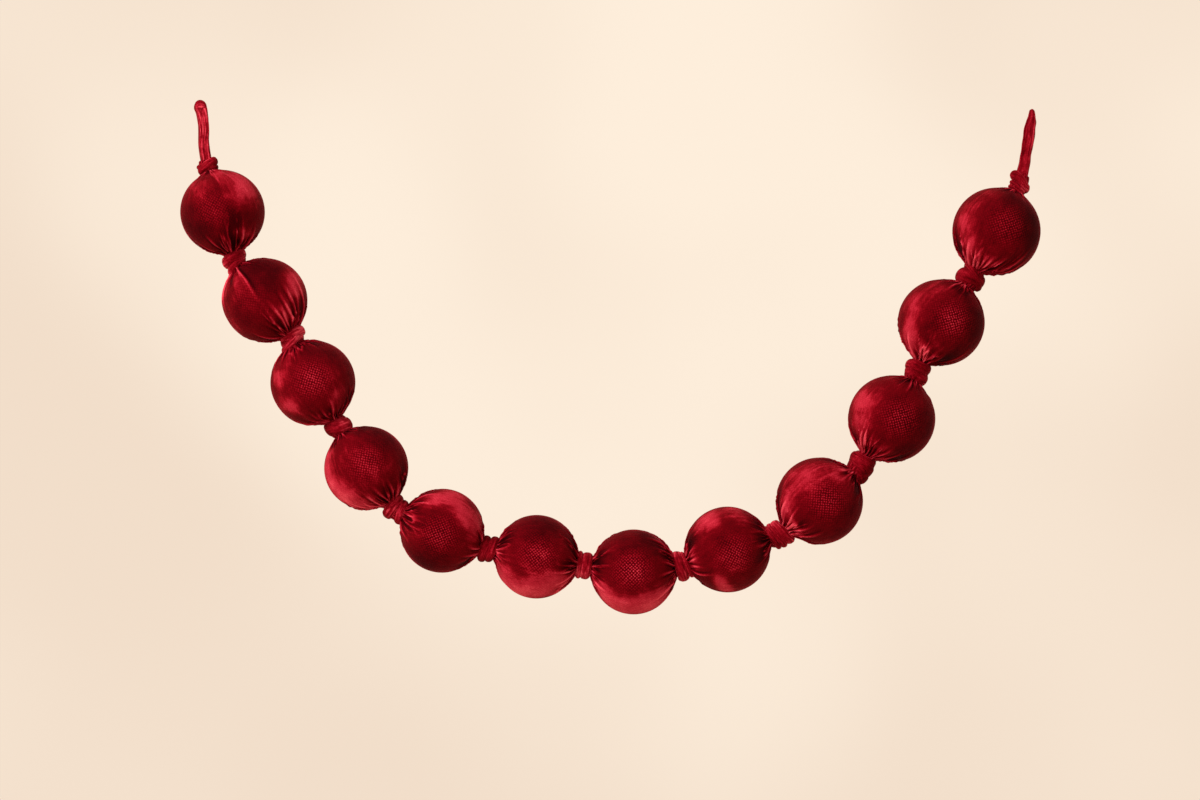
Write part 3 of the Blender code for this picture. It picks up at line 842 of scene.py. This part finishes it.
# Above 1, this sets the rings closer together near the tied ends.
CLOSER_AT_TIPS = 1.35
HALF_STEPS = np.linspace(0.0, 1.0, HALF_RINGS) ** CLOSER_AT_TIPS
HALF_ANGLES = TIP_ANGLE + (math.pi / 2 - TIP_ANGLE) * HALF_STEPS
RING_ANGLES = np.concatenate((HALF_ANGLES, math.pi - HALF_ANGLES[-2::-1]))
RING_NEAR = np.minimum(RING_ANGLES, math.pi - RING_ANGLES)
print("fine covers of", len(RING_ANGLES), "rings of", MERIDIANS, "points")

# %% [markdown]
# ## Single folds, and brushed nap as painted sheen
# Some folds stand out so much that they are placed one by one. Each is a narrow ridge that runs
# from a tied end, with a dip along one side. Velvet also shows where a hand has passed over it:
# patches and wedges where the nap lies toward the light or away from it, painted here as lighter
# sheen and darker shade. Both could be painted by hand, but a direction from the ball's middle is
# enough to work them out at each point.

# %% Ridges of the single folds
# Widths and the ridge's wander are in millimetres. The dip lies this many widths to one side.
FOLD_WIDTH = 0.80
FOLD_WIDENS = 0.012
FOLD_WANDER = 0.9
FOLD_WANDER_LENGTH = 8.0
DIP_ASIDE = 1.9
DIP_DEPTH = 0.35
FOLD_LIFT = 1.25


def add_folds(number, ways, reach):
    """Raises the single folds of one ball: a narrow ridge from the knot outward, with each point's share
    of a crest, for a painted highlight, and of the dip beside it, for painted shade.
    """
    rise = np.zeros(ways.shape[:2])
    crest = np.zeros(ways.shape[:2])
    beside = np.zeros(ways.shape[:2])
    for fold in FOLDS:
        if fold.ball != number + 1:
            continue
        pole = (BACK, AHEAD)[fold.end][number]
        out = outward(pole) if fold.end else -outward(pole)
        a = math.radians(fold.turn)
        line = math.cos(a) * out + math.sin(a) * FRONT
        across = np.cross(pole, line)
        away = np.arccos(np.clip(ways @ pole, -1.0, 1.0)) * reach
        aside = (ways @ across) * reach
        aside = aside + FOLD_WANDER * np.sin(away / FOLD_WANDER_LENGTH + fold.turn)
        width = FOLD_WIDTH + away * FOLD_WIDENS
        there = smooth(ways @ line, 0.0, 0.15) * (1.0 - smooth(away, fold.length * 0.5, fold.length))
        shape = np.exp(-((aside / width) ** 2)) * there
        dip = np.exp(-(((aside - DIP_ASIDE * width) / width) ** 2)) * there
        rise += (shape - DIP_DEPTH * dip) * fold.height * FOLD_LIFT
        crest = np.maximum(crest, shape)
        beside = np.maximum(beside, dip)
    return rise, crest, beside


FIRST_RISE = add_folds(0, ball_directions(0, RING_ANGLES, MERIDIANS), BALL_RADII[0])[0]
print("folds of ball 1 stand out by mm:", round(float(FIRST_RISE.max()), 2))

# %% Brushed nap as painted sheen and shade, and open nap
# Patches of painted sheen and painted shade on the back, and how every patch fades and bends.
BACK_PATCHES = 5
BACK_STRENGTHS = (0.7, -0.5)
PATCH_FADE = (0.15, 1.35)
PATCH_BEND = 0.10
NAP_SHEEN_LIMITS = (-0.7, 1.15)
# The dotted ground stays off the gathers, and its painted glint is faint past this far from its
# middle on the disc.
OPEN_ANGLES = (math.radians(24.0), math.radians(48.0))
OPEN_FADE = (0.05, 0.66)
OPEN_LEAST = 0.12


def around_pole(number, end, ways):
    """The angle away from a tied end, and the turn about it in degrees from the curve's outside."""
    pole = (BACK, AHEAD)[end][number]
    out = outward(pole) if end else -outward(pole)
    away = np.arccos(np.clip(ways @ pole / np.linalg.norm(ways, axis=-1), -1.0, 1.0))
    return away, np.degrees(np.arctan2(ways @ FRONT, ways @ out))


def nap_sheen_of(number, ways):
    """How far the nap is brushed light, as painted sheen; below 0 it is painted shade. The front follows
    the photo, the back has its own patches.
    """
    uneven = np.random.default_rng(40 + number)
    spots = []
    for patch in PATCHES:
        if patch.ball == number + 1:
            a = math.radians(90.0 - 30.0 * patch.hour)
            out = min(patch.out, 0.995)
            x, z = out * math.cos(a), out * math.sin(a)
            spots.append((np.array((x, -math.sqrt(1.0 - out * out), z)), patch.size, patch.strength))
    for k in range(BACK_PATCHES):
        way = unit(uneven.normal(size=3) * (1.0, 0.4, 1.0) + (0.0, 1.3, 0.0))
        spots.append((way, uneven.uniform(0.4, 0.6), BACK_STRENGTHS[k % 2]))
    bent = ways + PATCH_BEND * np.stack([wavering(ways, 90 + 3 * number + k) for k in range(3)], axis=-1)
    nap = np.zeros(ways.shape[:2])
    for way, size, strength in spots:
        gap = np.linalg.norm(bent - way, axis=-1) / size
        nap += strength * (1.0 - smooth(gap, *PATCH_FADE))
    for wedge in WEDGES:
        if wedge.ball == number + 1:
            away, turn = around_pole(number, wedge.end, 0.75 * ways + 0.25 * bent)
            inside = smooth(turn, wedge.first - 2, wedge.first + 2)
            inside = inside - smooth(turn, wedge.last - 4, wedge.last + 4)
            reach = away * BALL_RADII[number]
            nap += wedge.strength * inside * (1.0 - smooth(reach, wedge.length * 0.4, wedge.length))
    return np.clip(nap, *NAP_SHEEN_LIMITS)


def open_nap_glint(number, ways):
    """Where the nap is parted and the dotted ground shows with a painted glint: near the middle of the
    front and back.
    """
    cover = COVERS[number]
    off = np.hypot(ways[..., 0] - cover.dots_x, ways[..., 2] - cover.dots_z)
    clear = smooth(RING_NEAR, *OPEN_ANGLES)[:, None]
    return (OPEN_LEAST + cover.dots * (1.0 - smooth(off, *OPEN_FADE))) * clear


print("nap goes from", NAP_SHEEN_LIMITS[0], "to", NAP_SHEEN_LIMITS[1])

# %% [markdown]
# ## The covers, gathered
# Each fine cover takes up its single folds and its settled shape as it is lofted. Then the tree of
# gathers runs on it, and the result is kept as plain mesh. A fold listed in the table and a gather
# from the tree both count as a crest, painted as a highlight, so the larger of the two is kept for
# the shader.

# %% The fine covers
# The cloth lifts off the ball a little where the knot draws it together, and its pile adds to it.
TIP_RISE = 1.4
TIP_SPREAD = 9.0
PILE = 0.3
DOTS_AROUND = 109
SEED_STEP = 3.1
# How much of a fold's dip is painted as shade in the troughs.
DIP_SHARE = 0.7


def make_ball(number):
    name = f"ball_{number + 1:02d}"
    radius = BALL_RADII[number]
    cover = COVERS[number]
    ways = ball_directions(number, RING_ANGLES, MERIDIANS)
    rise, crest, beside = add_folds(number, ways, radius)
    tip = TIP_RISE * np.exp(-((RING_NEAR * radius / TIP_SPREAD) ** 2))[:, None]
    rows = CENTRES[number] + ways * (radius + PILE + rise + tip)[..., None]
    rows = rows + finer(MOVES[number], RING_ANGLES, MERIDIANS)
    along = RING_ANGLES * radius * MM
    around = DOTS_AROUND * DOT_PITCH
    stored = {"nap": nap_sheen_of(number, ways), "open": open_nap_glint(number, ways), "fold": crest, "dip": beside}
    mesh = loft(name + "_cover", rows, stored, (around, along))
    thing = add_piece(name + "_cover", mesh)
    values = {
        "Centre": tuple(CENTRES[number] * MM),
        "Radius": radius * MM,
        "Back Pole": tuple(BACK[number]),
        "Ahead Pole": tuple(AHEAD[number]),
        "Back Depth": cover.back_depth * MM,
        "Ahead Depth": cover.ahead_depth * MM,
        "Back Reach": cover.back_reach * MM,
        "Ahead Reach": cover.ahead_reach * MM,
        "Folds": float(cover.folds),
        "Seed": SEED_STEP * number,
        "Velvet": BALL_VELVET,
    }
    mesh = worked(thing, GATHERS, values)
    add_to(mesh, "crest", "fold", 1.0)
    add_to(mesh, "trough", "dip", DIP_SHARE)
    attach(thing, "root")
    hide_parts(name)
    return thing


def add_to(mesh, what, more, share):
    """Lets one stored amount reach up to a share of another, which is then dropped."""
    amounts = []
    for name in (what, more):
        values = np.zeros(len(mesh.vertices), dtype=np.float32)
        mesh.attributes[name].data.foreach_get("value", values)
        amounts.append(values)
    mesh.attributes[what].data.foreach_set("value", np.maximum(amounts[0], amounts[1] * share))
    mesh.attributes.remove(mesh.attributes[more])


balls = [make_ball(number) for number in range(len(CENTRES))]
print("balls:", len(balls), "with", sum(len(b.data.polygons) for b in balls), "faces")

# %% [markdown]
# ## The knots
# Between two balls the tube is wound round itself and pulled tight. What shows is a neck of gathered
# cloth with one to three wraps lying round it, each a soft band with creases along it. A wrap is a
# closed ring swept round the neck, leaning to one side, and where two wraps cross one lies over the
# other. A whole knot could be simulated from a rope of cloth, but its few lumps are easier to place.

# %% The wraps of each knot
# Along the neck from its middle, breadth, slant in degrees, how far it stands out past the knot's
# measured size, and how far its middle lies off the neck to the outside of the curve.
Wrap = namedtuple("Wrap", "along breadth slant stand aside")
WRAPS = {
    "knot_01": (Wrap(-2.4, 11.0, 8, -0.4, 0.0), Wrap(4.2, 8.0, 15, -1.6, 0.8)),
    "knot_02": (
        Wrap(0.0, 13.0, 6, -1.8, 0.4), Wrap(-3.8, 10.0, -4, -1.2, -2.2), Wrap(3.0, 9.6, 22, -0.8, 1.6)
    ),
    "knot_03": (Wrap(0.2, 13.8, -9, -0.9, 0.0),),
    "knot_04": (Wrap(-4.0, 11.0, 8, 0.0, 0.4), Wrap(4.9, 8.6, 9, -1.0, -0.4)),
    "knot_05": (Wrap(-3.4, 8.6, 2, -0.2, 0.6), Wrap(3.4, 8.8, -6, -0.4, -0.8)),
    "knot_06": (Wrap(-4.9, 5.4, 3, 0.2, 0.0), Wrap(1.4, 10.4, 0, 0.0, 0.0)),
    "knot_07": (Wrap(-1.8, 10.0, 5, 0.1, 0.2), Wrap(4.6, 5.8, 7, -1.4, 0.4)),
    "knot_08": (
        Wrap(-6.4, 5.4, 13, -1.2, 0.4), Wrap(-2.0, 6.2, 11, -0.2, 0.0), Wrap(4.0, 9.4, 9, 0.0, -0.2)
    ),
    "knot_09": (
        Wrap(-3.2, 13.0, -20, -1.8, 1.6), Wrap(0.6, 13.0, -6, -1.2, 0.0), Wrap(4.2, 9.4, 8, -2.0, -1.6)
    ),
    "knot_10": (Wrap(-3.4, 11.6, -7, -1.6, 0.8), Wrap(3.2, 11.0, 5, -1.4, -0.8)),
    "knot_11": (Wrap(-0.6, 13.0, 5, -0.6, 0.0), Wrap(3.0, 8.0, -28, -1.8, 1.2)),
    "knot_left": (Wrap(-0.6, 6.0, -15, -0.3, -0.4), Wrap(0.6, 8.6, 15, 0.3, 0.2)),
    "knot_right": (
        Wrap(-6.4, 4.2, -8, -2.0, 0.0), Wrap(-3.2, 4.4, -14, -1.5, 0.0), Wrap(3.0, 9.4, -22, 0.5, 0.0)
    ),
}
# How far each knot's nap is brushed toward the light at its front, painted as sheen.
KNOT_NAP_SHEEN = {
    "knot_01": -0.01, "knot_02": 0.27, "knot_03": 0.13, "knot_04": 0.41, "knot_05": -0.03,
    "knot_06": 0.20, "knot_07": 0.04, "knot_08": 0.01, "knot_09": -0.23, "knot_10": -0.24,
    "knot_11": -0.31, "knot_left": 0.25, "knot_right": 0.03,
}
print("wraps:", sum(len(wraps) for wraps in WRAPS.values()), "on", len(WRAPS), "knots")

# %% [markdown]
# ## Creases
# Cloth that is pulled lengthwise creases along the pull. Waves around the band, folded up where
# they pass zero, give sharp lines between round crests, and a slow bend keeps them from running
# straight. Finer lines only change the colour. Both are seeded, so each run gives the same ones.

# %% Creases and fine lines
CREASE_SETS = 3
LINE_SETS = 6


def creases(around, along, seed, count):
    """Sharp uneven lines that run lengthwise: 0 in a crease, 1 on a crest."""
    uneven = np.random.default_rng(seed)
    total = np.zeros(np.broadcast(around, along).shape)
    for k in range(CREASE_SETS):
        waves = count * (0.7 + 0.5 * k) + uneven.uniform(-0.8, 0.8)
        start, drift = uneven.uniform(0.0, 6.3, 2)
        bend = 0.9 * np.sin(along * round(uneven.uniform(1.0, 3.0)) + drift)
        total += np.abs(np.sin(around * waves * 0.5 + start + bend)) / (1.0 + 0.7 * k)
    return total / 2.1


def lines_along(around, along, seed):
    """Fine light and dark lines that run lengthwise, 0 to 1 about 0.5."""
    uneven = np.random.default_rng(seed + 900)
    total = np.zeros(np.broadcast(around, along).shape)
    for k in range(LINE_SETS):
        waves = round(uneven.uniform(5.0, 17.0))
        total += np.sin(waves * around + uneven.uniform(0.0, 6.3) + 1.3 * np.sin(along * (k + 1) + k))
    return 0.5 + total / 9.0


print("creases from", CREASE_SETS, "waves, fine lines from", LINE_SETS)


# %% [markdown]
# ## One wrap
# The neck's middle line is a soft bend between two seats. A wrap is a ring swept round that line. It
# could be a curve with a bevel, but then its creases would have no points to lie on, so its rows
# are worked out here. A slanted wrap moves along the neck as it goes round.

# %% The neck and one wrap
# A wrap's thickness in millimetres is the first number, and this share of its breadth more.
WRAP_THICKNESS = (5.4, 0.22)
WRAP_STEPS = 112
WRAP_SIDES = 36
WRAP_CREASES = 7
CREASE_DEPTH = 0.065
RIDE_OVER = 0.9
SIDE_SQUARENESS = 0.92


def neck_frame(start, start_way, end, end_way, s):
    """The neck's middle line as a soft bend from one ball's seat to the next, with its ways."""
    reach = np.linalg.norm(end - start)
    a, b = start + start_way * reach / 3, end - end_way * reach / 3
    s = np.atleast_1d(s)[:, None]
    t = 1.0 - s
    middle = start * t**3 + 3 * a * t * t * s + 3 * b * t * s * s + end * s**3
    way = (a - start) * t * t + (b - a) * 2 * t * s + (end - b) * s * s
    way = way / np.linalg.norm(way, axis=1, keepdims=True)
    side = np.stack((way[:, 2], np.zeros(len(way)), -way[:, 0]), axis=1)
    return middle, way, side


def neck_reach(neck):
    return float(np.linalg.norm(neck[2] - neck[0]))


def wrap_rows(wrap, across, neck, lobes, over, seed):
    """One wrap: a creased band swept round the neck and closed on itself."""
    turns = np.arange(WRAP_STEPS) * FULL_TURN / WRAP_STEPS
    sides = np.arange(WRAP_SIDES) * FULL_TURN / WRAP_SIDES
    thickness = WRAP_THICKNESS[0] + WRAP_THICKNESS[1] * wrap.breadth
    full = across / 2.0 + wrap.stand
    lean = math.tan(math.radians(wrap.slant)) * full
    place = 0.5 + (wrap.along + lean * np.cos(turns)) / neck_reach(neck)
    middle, way, side = neck_frame(*neck, place)
    out = np.cos(turns)[:, None] * side + np.sin(turns)[:, None] * FRONT
    # Where wraps cross, at the front and back, one rides over the other.
    ride = over * np.sin(turns) ** 2 * RIDE_OVER
    round_out = (full - thickness / 2 + ride) * (1.0 + lobes * np.cos(2 * turns))
    line = middle + side * wrap.aside + out * round_out[:, None]
    crease = creases(sides[None, :], turns[:, None], seed, WRAP_CREASES)
    squeeze = 1.0 + 0.06 * np.sin(turns * 2 + seed) + 0.04 * np.sin(turns * 5 + 2 * seed)
    depth = 1.0 - CREASE_DEPTH * (1.0 - crease)
    wide = np.sign(np.cos(sides)) * np.abs(np.cos(sides)) ** SIDE_SQUARENESS * wrap.breadth / 2
    thick = np.sin(sides) * thickness / 2
    rows = (
        line[:, None, :]
        + way[:, None, :] * (wide[None, :] * squeeze[:, None] * depth)[..., None]
        + out[:, None, :] * (thick[None, :] * depth)[..., None]
    )
    return rows, crease, lines_along(sides[None, :], turns[:, None], seed), sides, turns


print("a wrap has", WRAP_STEPS, "rings of", WRAP_SIDES, "points")


# %% [markdown]
# ## One knot
# The wraps and the neck are joined to one piece, which replaces its solid in the picture. They sit
# in each other a little, as squeezed cloth does, and nothing shows of the overlap.

# %% One knot
# Its wraps, and the gathered neck that shows between them, in millimetres.
NAP_SHEEN_SWAY = 0.25
NECK_SLIM = 2.6
NECK_END_RADIUS = 6.2
NECK_RINGS = 26
NECK_POINTS = 104
NECK_CREASES = 22
NECK_CREASE_DEPTH = 0.07


def joined(name, meshes):
    """Several meshes as one piece."""
    things = [add_piece(name if k == 0 else f"{name}_{k}", m) for k, m in enumerate(meshes)]
    with bpy.context.temp_override(
        active_object=things[0], selected_objects=things, selected_editable_objects=things
    ):
        bpy.ops.object.join()
    return things[0]


def neck_part(name, neck, across, lobes, seed):
    """The neck under the wraps: gathers that run from ball to ball."""
    s = np.linspace(0.0, 1.0, NECK_RINGS)
    turns = np.arange(NECK_POINTS) * FULL_TURN / NECK_POINTS
    middle, _, side = neck_frame(*neck, s)
    out = np.cos(turns)[None, :, None] * side[:, None, :] + np.sin(turns)[None, :, None] * FRONT
    crease = creases(turns[None, :], s[:, None] * 2.0, seed + 31, NECK_CREASES)
    swell = np.sin(math.pi * s)[:, None] ** 0.4
    radius = NECK_END_RADIUS + (across / 2 - NECK_SLIM - NECK_END_RADIUS) * swell
    radius = radius * (1.0 + lobes * np.cos(2 * turns)[None, :] * swell)
    radius = radius * (1.0 - NECK_CREASE_DEPTH + NECK_CREASE_DEPTH * crease)
    rows = middle[:, None, :] + out * radius[..., None]
    # The neck's crests get a painted highlight and its creases painted shade.
    stored = {
        "nap": np.zeros(crease.shape),
        "crest": smooth(crease, 0.7, 0.98) * 0.5,
        "trough": 1.0 - smooth(crease, 0.15, 0.6),
        "streak": lines_along(turns[None, :] * 2.0, s[:, None], seed),
    }
    return loft(f"{name}_neck", rows, stored)


def make_knot(name, neck, across, lobes=0.0):
    parts = []
    seed = sum(map(ord, name))
    crossing = len({w.slant > 0 for w in WRAPS[name]}) == 2
    for k, wrap in enumerate(WRAPS[name]):
        over = (1.0 if k else -1.0) if crossing else 0.0
        rows, crease, lines, sides, turns = wrap_rows(wrap, across, neck, lobes, over, seed + 5 * k)
        # The painted sheen of the nap sways around each wrap; crests and both edges of the band get a
        # painted highlight, creases painted shade.
        sway = NAP_SHEEN_SWAY * (np.sin(2 * turns + seed) + math.sin(seed))
        stored = {
            "nap": (KNOT_NAP_SHEEN[name] + sway)[:, None] * np.ones(crease.shape),
            "crest": smooth(crease, 0.7, 0.98) * 0.22 + 0.4 * np.abs(np.cos(sides))[None, :] ** 8,
            "trough": 0.75 - 0.75 * smooth(crease, 0.12, 0.42),
            "streak": lines,
        }
        parts.append(loft(f"{name}_wrap_{k}", rows, stored, closed_path=True))
    parts.append(neck_part(name, neck, across, lobes, seed))
    thing = joined(name + "_tied", parts)
    thing.data.materials.append(KNOT_VELVET)
    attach(thing, "root")
    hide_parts(name)
    return thing


print("a neck has", NECK_RINGS, "rings of", NECK_POINTS, "points")

# %% [markdown]
# ## Tying the knots
# Each knot sits on the seats of its two balls. An end knot has a ball on one side and the foot of
# its hanging loop on the other. Its neck could run straight, but a soft bend between the two seats
# leaves each ball square to it, as pulled cloth does.

# %% The knots tied
SEAT_LIFT = 0.2
FOOT_WAYS = (unit(flat(-1.5, 8.9)), unit(flat(2.3, 12.5)))
END_LOBES = (0.20, 0.08)


def seat_of(number, pole):
    """Where a ball's seat lies, a little inside its cover so that the neck has no gap."""
    return CENTRES[number] + pole * (math.sqrt(BALL_RADII[number] ** 2 - SEAT_RADIUS**2) + SEAT_LIFT)


knots = []
for k, link in enumerate(LINKS):
    neck = (seat_of(k, AHEAD[k]), AHEAD[k], seat_of(k + 1, BACK[k + 1]), -BACK[k + 1])
    knots.append(make_knot(f"knot_{k + 1:02d}", neck, link.across))
for end, way, pole, lobes in zip(ENDS, FOOT_WAYS, (BACK[0], AHEAD[-1]), END_LOBES):
    neck = (seat_of(end.ball, pole), pole, flat(*end.foot), way)
    knots.append(make_knot(end.name, neck, end.across, lobes))
print("knots:", len(knots), "with", sum(len(k.data.polygons) for k in knots), "faces")

# %% [markdown]
# ## The hanging loops
# A narrow strip of the same velvet, folded lengthwise to a soft flat band and then in two. Its two
# runs lie close together down to the end knot. Simulated, so short a strip would hardly move, so it
# is swept along its measured path, with a crease along each broad side where it was folded.

# %% The measured runs
# Down each loop: depth below its bearing point, sideways drift, and half the spacing of its runs.
Section = namedtuple("Section", "below drift half")
# Each loop: where its top bears, its turn about the vertical in degrees, which end it is at, how
# wide its strip stays at the crown (1 is in full), and its sections.
Loop = namedtuple("Loop", "name bearing turn end crown sections")
LOOPS = (
    Loop("loop_left", (0.0, 0.0), 22.0, 0, 0.9, (
        Section(1.3, 0.0, 3.4), Section(7.0, 1.2, 3.1), Section(14.0, 2.3, 2.5),
        Section(23.0, 3.0, 2.4), Section(32.0, 2.9, 2.4), Section(41.0, 3.6, 2.4),
        Section(49.9, 5.1, 2.4))),
    Loop("loop_right", (748.4, -8.2), 76.0, 1, 0.52, (
        Section(1.3, 0.0, 3.4), Section(6.5, -0.6, 3.1), Section(15.0, -2.2, 2.6),
        Section(24.0, -3.2, 2.4), Section(33.0, -4.9, 2.4), Section(43.0, -6.5, 2.4),
        Section(55.5, -8.8, 2.4))),
)
print("loops:", [loop.name for loop in LOOPS])

# %% The strips
STRIP_WIDTH = 10.0
STRIP_THICKNESS = 5.9
RUN_POINTS = 70
TUCKED_IN = 1.5
EYE_HALF = 2.6
EYE_POINTS = 26
RUNS_PRESS = 0.35
RUNS_APART = 0.9
SQUARENESS = 0.7
STRIP_SIDES = 48
STRIP_CREASES = 7
STRIP_CREASE_DEPTH = 0.09
FOLD_LINE_WIDTH = 0.16
FOLD_LINE_DEPTH = 0.12
CROWN_REACH = 6.0
CROWN_PLUMP = 0.14
CROWN_DROOP = 0.22


def curve_through(depths, amounts, wanted):
    """A smooth curve through a few measured amounts."""
    slopes = np.gradient(amounts, depths)
    k = np.clip(np.searchsorted(depths, wanted, side="right") - 1, 0, len(depths) - 2)
    span = depths[k + 1] - depths[k]
    t = (wanted - depths[k]) / span
    return (
        (2 * t**3 - 3 * t**2 + 1) * amounts[k] + (t**3 - 2 * t**2 + t) * span * slopes[k]
        + (3 * t**2 - 2 * t**3) * amounts[k + 1] + (t**3 - t**2) * span * slopes[k + 1]
    )


def make_loop(loop):
    table = np.array(loop.sections)
    turn = math.radians(loop.turn)
    plane = np.array((math.cos(turn), math.sin(turn), 0.0))
    bearing = flat(*loop.bearing)
    below = np.linspace(table[0, 0], table[-1, 0] + TUCKED_IN, RUN_POINTS)
    drift = curve_through(table[:, 0], table[:, 1], below)
    # The two runs touch soon below the eye.
    half = curve_through(table[:, 0], table[:, 2], below)
    half = np.minimum(half, EYE_HALF) - RUNS_PRESS * smooth(below, 2.0, 12.0)
    # On the left loop, one run lies a little in front of the other.
    before = FRONT * (RUNS_APART * smooth(below, 0.0, 9.0) * (1 - loop.end))[:, None]
    line = bearing + np.stack((drift, 0 * drift, -below), axis=1)
    runs = [line + (plane * half[:, None] + before) * sign for sign in (1.0, -1.0)]
    a = np.linspace(0.0, math.pi, EYE_POINTS)[1:-1, None]
    eye = bearing - UP * table[0, 0] + (plane * np.cos(a) + UP * np.sin(a)) * EYE_HALF
    path = np.concatenate((runs[0][::-1], eye, runs[1]))
    way = np.gradient(path, axis=0)
    way /= np.linalg.norm(way, axis=1, keepdims=True)
    across = np.cross(plane, UP)
    thick = np.cross(way, across)
    thick /= np.linalg.norm(thick, axis=1, keepdims=True)
    wide = np.cross(thick, way)
    sides = np.arange(STRIP_SIDES) * FULL_TURN / STRIP_SIDES
    along = np.linspace(0.0, 9.0, len(path))
    crease = creases(sides[None, :], along[:, None], 17 + loop.end, STRIP_CREASES)
    # Each broad side has one fold line down its middle.
    fold = np.exp(-(((np.abs(np.cos(sides)) - 1.0) / FOLD_LINE_WIDTH) ** 2))[None, :]
    uneven = 1.0 + 0.05 * np.sin(along * 3.1)[:, None] + 0.03 * np.sin(along * 7.3 + 1.0)[:, None]
    depth = 1.0 - STRIP_CREASE_DEPTH * (1.0 - crease)
    from_top = np.linalg.norm(path - (bearing + UP * 1.0), axis=1)[:, None]
    crown = np.exp(-((from_top / CROWN_REACH) ** 2))
    uneven = uneven * (1.0 - (1.0 - loop.crown) * crown)
    plump = 1.0 + CROWN_PLUMP * crown
    x = (np.sign(np.cos(sides)) * np.abs(np.cos(sides)) ** SQUARENESS)[None, :]
    y = (np.sign(np.sin(sides)) * np.abs(np.sin(sides)) ** SQUARENESS)[None, :]
    x = x * STRIP_THICKNESS / 2 * depth * (1.0 - FOLD_LINE_DEPTH * fold) * plump
    y = y * STRIP_WIDTH / 2 * depth * uneven
    rows = path[:, None, :] + thick[:, None, :] * x[..., None] + wide[:, None, :] * y[..., None]
    # The edges droop at the crown, which rounds it.
    rows = rows - UP * (CROWN_DROOP * crown * y**2)[..., None]
    # The strip is painted lighter toward one long edge, as light falling there; crests get a painted
    # highlight, creases painted shade.
    light = smooth(np.sin(sides), 0.1, 0.9)[None, :] * np.ones((len(path), 1))
    stored = {
        "nap": 0.05 + 0.35 * light,
        "crest": smooth(crease, 0.70, 0.98) * 0.45,
        "trough": (1.0 - smooth(crease, 0.1, 0.45)) * 0.8,
        "streak": lines_along(sides[None, :], along[:, None], 5 + loop.end),
    }
    mesh = loft(loop.name + "_strip", rows, stored)
    mesh.materials.append(LOOP_VELVET)
    thing = add_piece(loop.name + "_strip", mesh)
    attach(thing, "root")
    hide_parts(loop.name)
    return thing


strips = [make_loop(loop) for loop in LOOPS]
print("strips:", [len(s.data.polygons) for s in strips])

# %% [markdown]
# ## Floor, backdrop and light
# Around the garland all is a soft warm cream with no edge in it. A big sheet behind it could give
# that from the front, but a world colour gives it from every side, and keeps the shadows open. A
# pale floor lies well below. One broad light from the upper left and front shapes the balls, and a
# weaker one lifts their lower left.

# %% The cream room
CREAM = (0.99, 0.855, 0.71, 1.0)
CREAM_DEEP = (0.885, 0.73, 0.59, 1.0)
LIGHT_SIDE = (0.03, 1.0, 0.08)


def make_world():
    world = bpy.data.worlds.new("cream room")
    bpy.context.scene.world = world
    world.use_nodes = True
    tree = Tree(world.node_tree)
    way = tree.add("ShaderNodeTexCoord", out="Generated")
    cloud = tree.add("ShaderNodeTexNoise", None, {"Vector": way, "Scale": 7.0, "Detail": 1.0})
    off = way.call("DISTANCE", LIGHT_SIDE, out="Value")
    colour = tree.blend(((0.30 - off) * 3.4 + (cloud - 0.5) * 1.6).smooth(0.0, 1.0), CREAM_DEEP, CREAM)
    shown = world.node_tree.nodes["Background"]
    tree.feed(shown.inputs["Color"], colour)
    shown.inputs["Strength"].default_value = 1.0
    print("world:", world.name)


make_world()

# %% The pale floor
FLOOR_DEEP = (0.60, 0.51, 0.43, 1.0)
FLOOR_PALE = (0.66, 0.57, 0.485, 1.0)
FLOOR_LEVEL = -1.25
FLOOR_RADIUS = 3.6
MIDDLE = (0.37, 0.0, -0.25)


def make_floor():
    material = bpy.data.materials.new("pale floor")
    material.use_nodes = True
    tree = Tree(material.node_tree)
    shader = material.node_tree.nodes["Principled BSDF"]
    place = tree.add("ShaderNodeTexCoord", out="Object")
    mottle = tree.add("ShaderNodeTexNoise", None, {"Vector": place, "Scale": 2.0, "Detail": 2.0})
    tree.feed(shader.inputs["Base Color"], tree.blend(mottle, FLOOR_DEEP, FLOOR_PALE))
    shader.inputs["Roughness"].default_value = 0.9
    bpy.ops.mesh.primitive_circle_add(
        vertices=96, radius=FLOOR_RADIUS, fill_type="NGON", location=(*MIDDLE[:2], FLOOR_LEVEL)
    )
    floor = bpy.context.object
    floor.name = "floor"
    floor.data.materials.append(material)
    print("floor at", FLOOR_LEVEL)


make_floor()


# %% The lights
def make_light(name, place, size, power, colour):
    data = bpy.data.lights.new(name, "AREA")
    data.shape = "SQUARE"
    data.size = size
    data.energy = power
    data.color = colour
    light = bpy.data.objects.new(name, data)
    bpy.context.scene.collection.objects.link(light)
    light.location = place
    aim = light.location.copy()
    aim.x, aim.y, aim.z = (m - p for m, p in zip(MIDDLE, place))
    light.rotation_euler = aim.to_track_quat("-Z", "Y").to_euler()


make_light("key", (-1.6, -2.2, 1.7), 1.3, 120.0, (1.0, 0.96, 0.92))
make_light("low left", (-1.4, -1.0, -1.1), 1.2, 8.0, (1.0, 0.94, 0.9))
bpy.context.scene.view_settings.view_transform = "Standard"
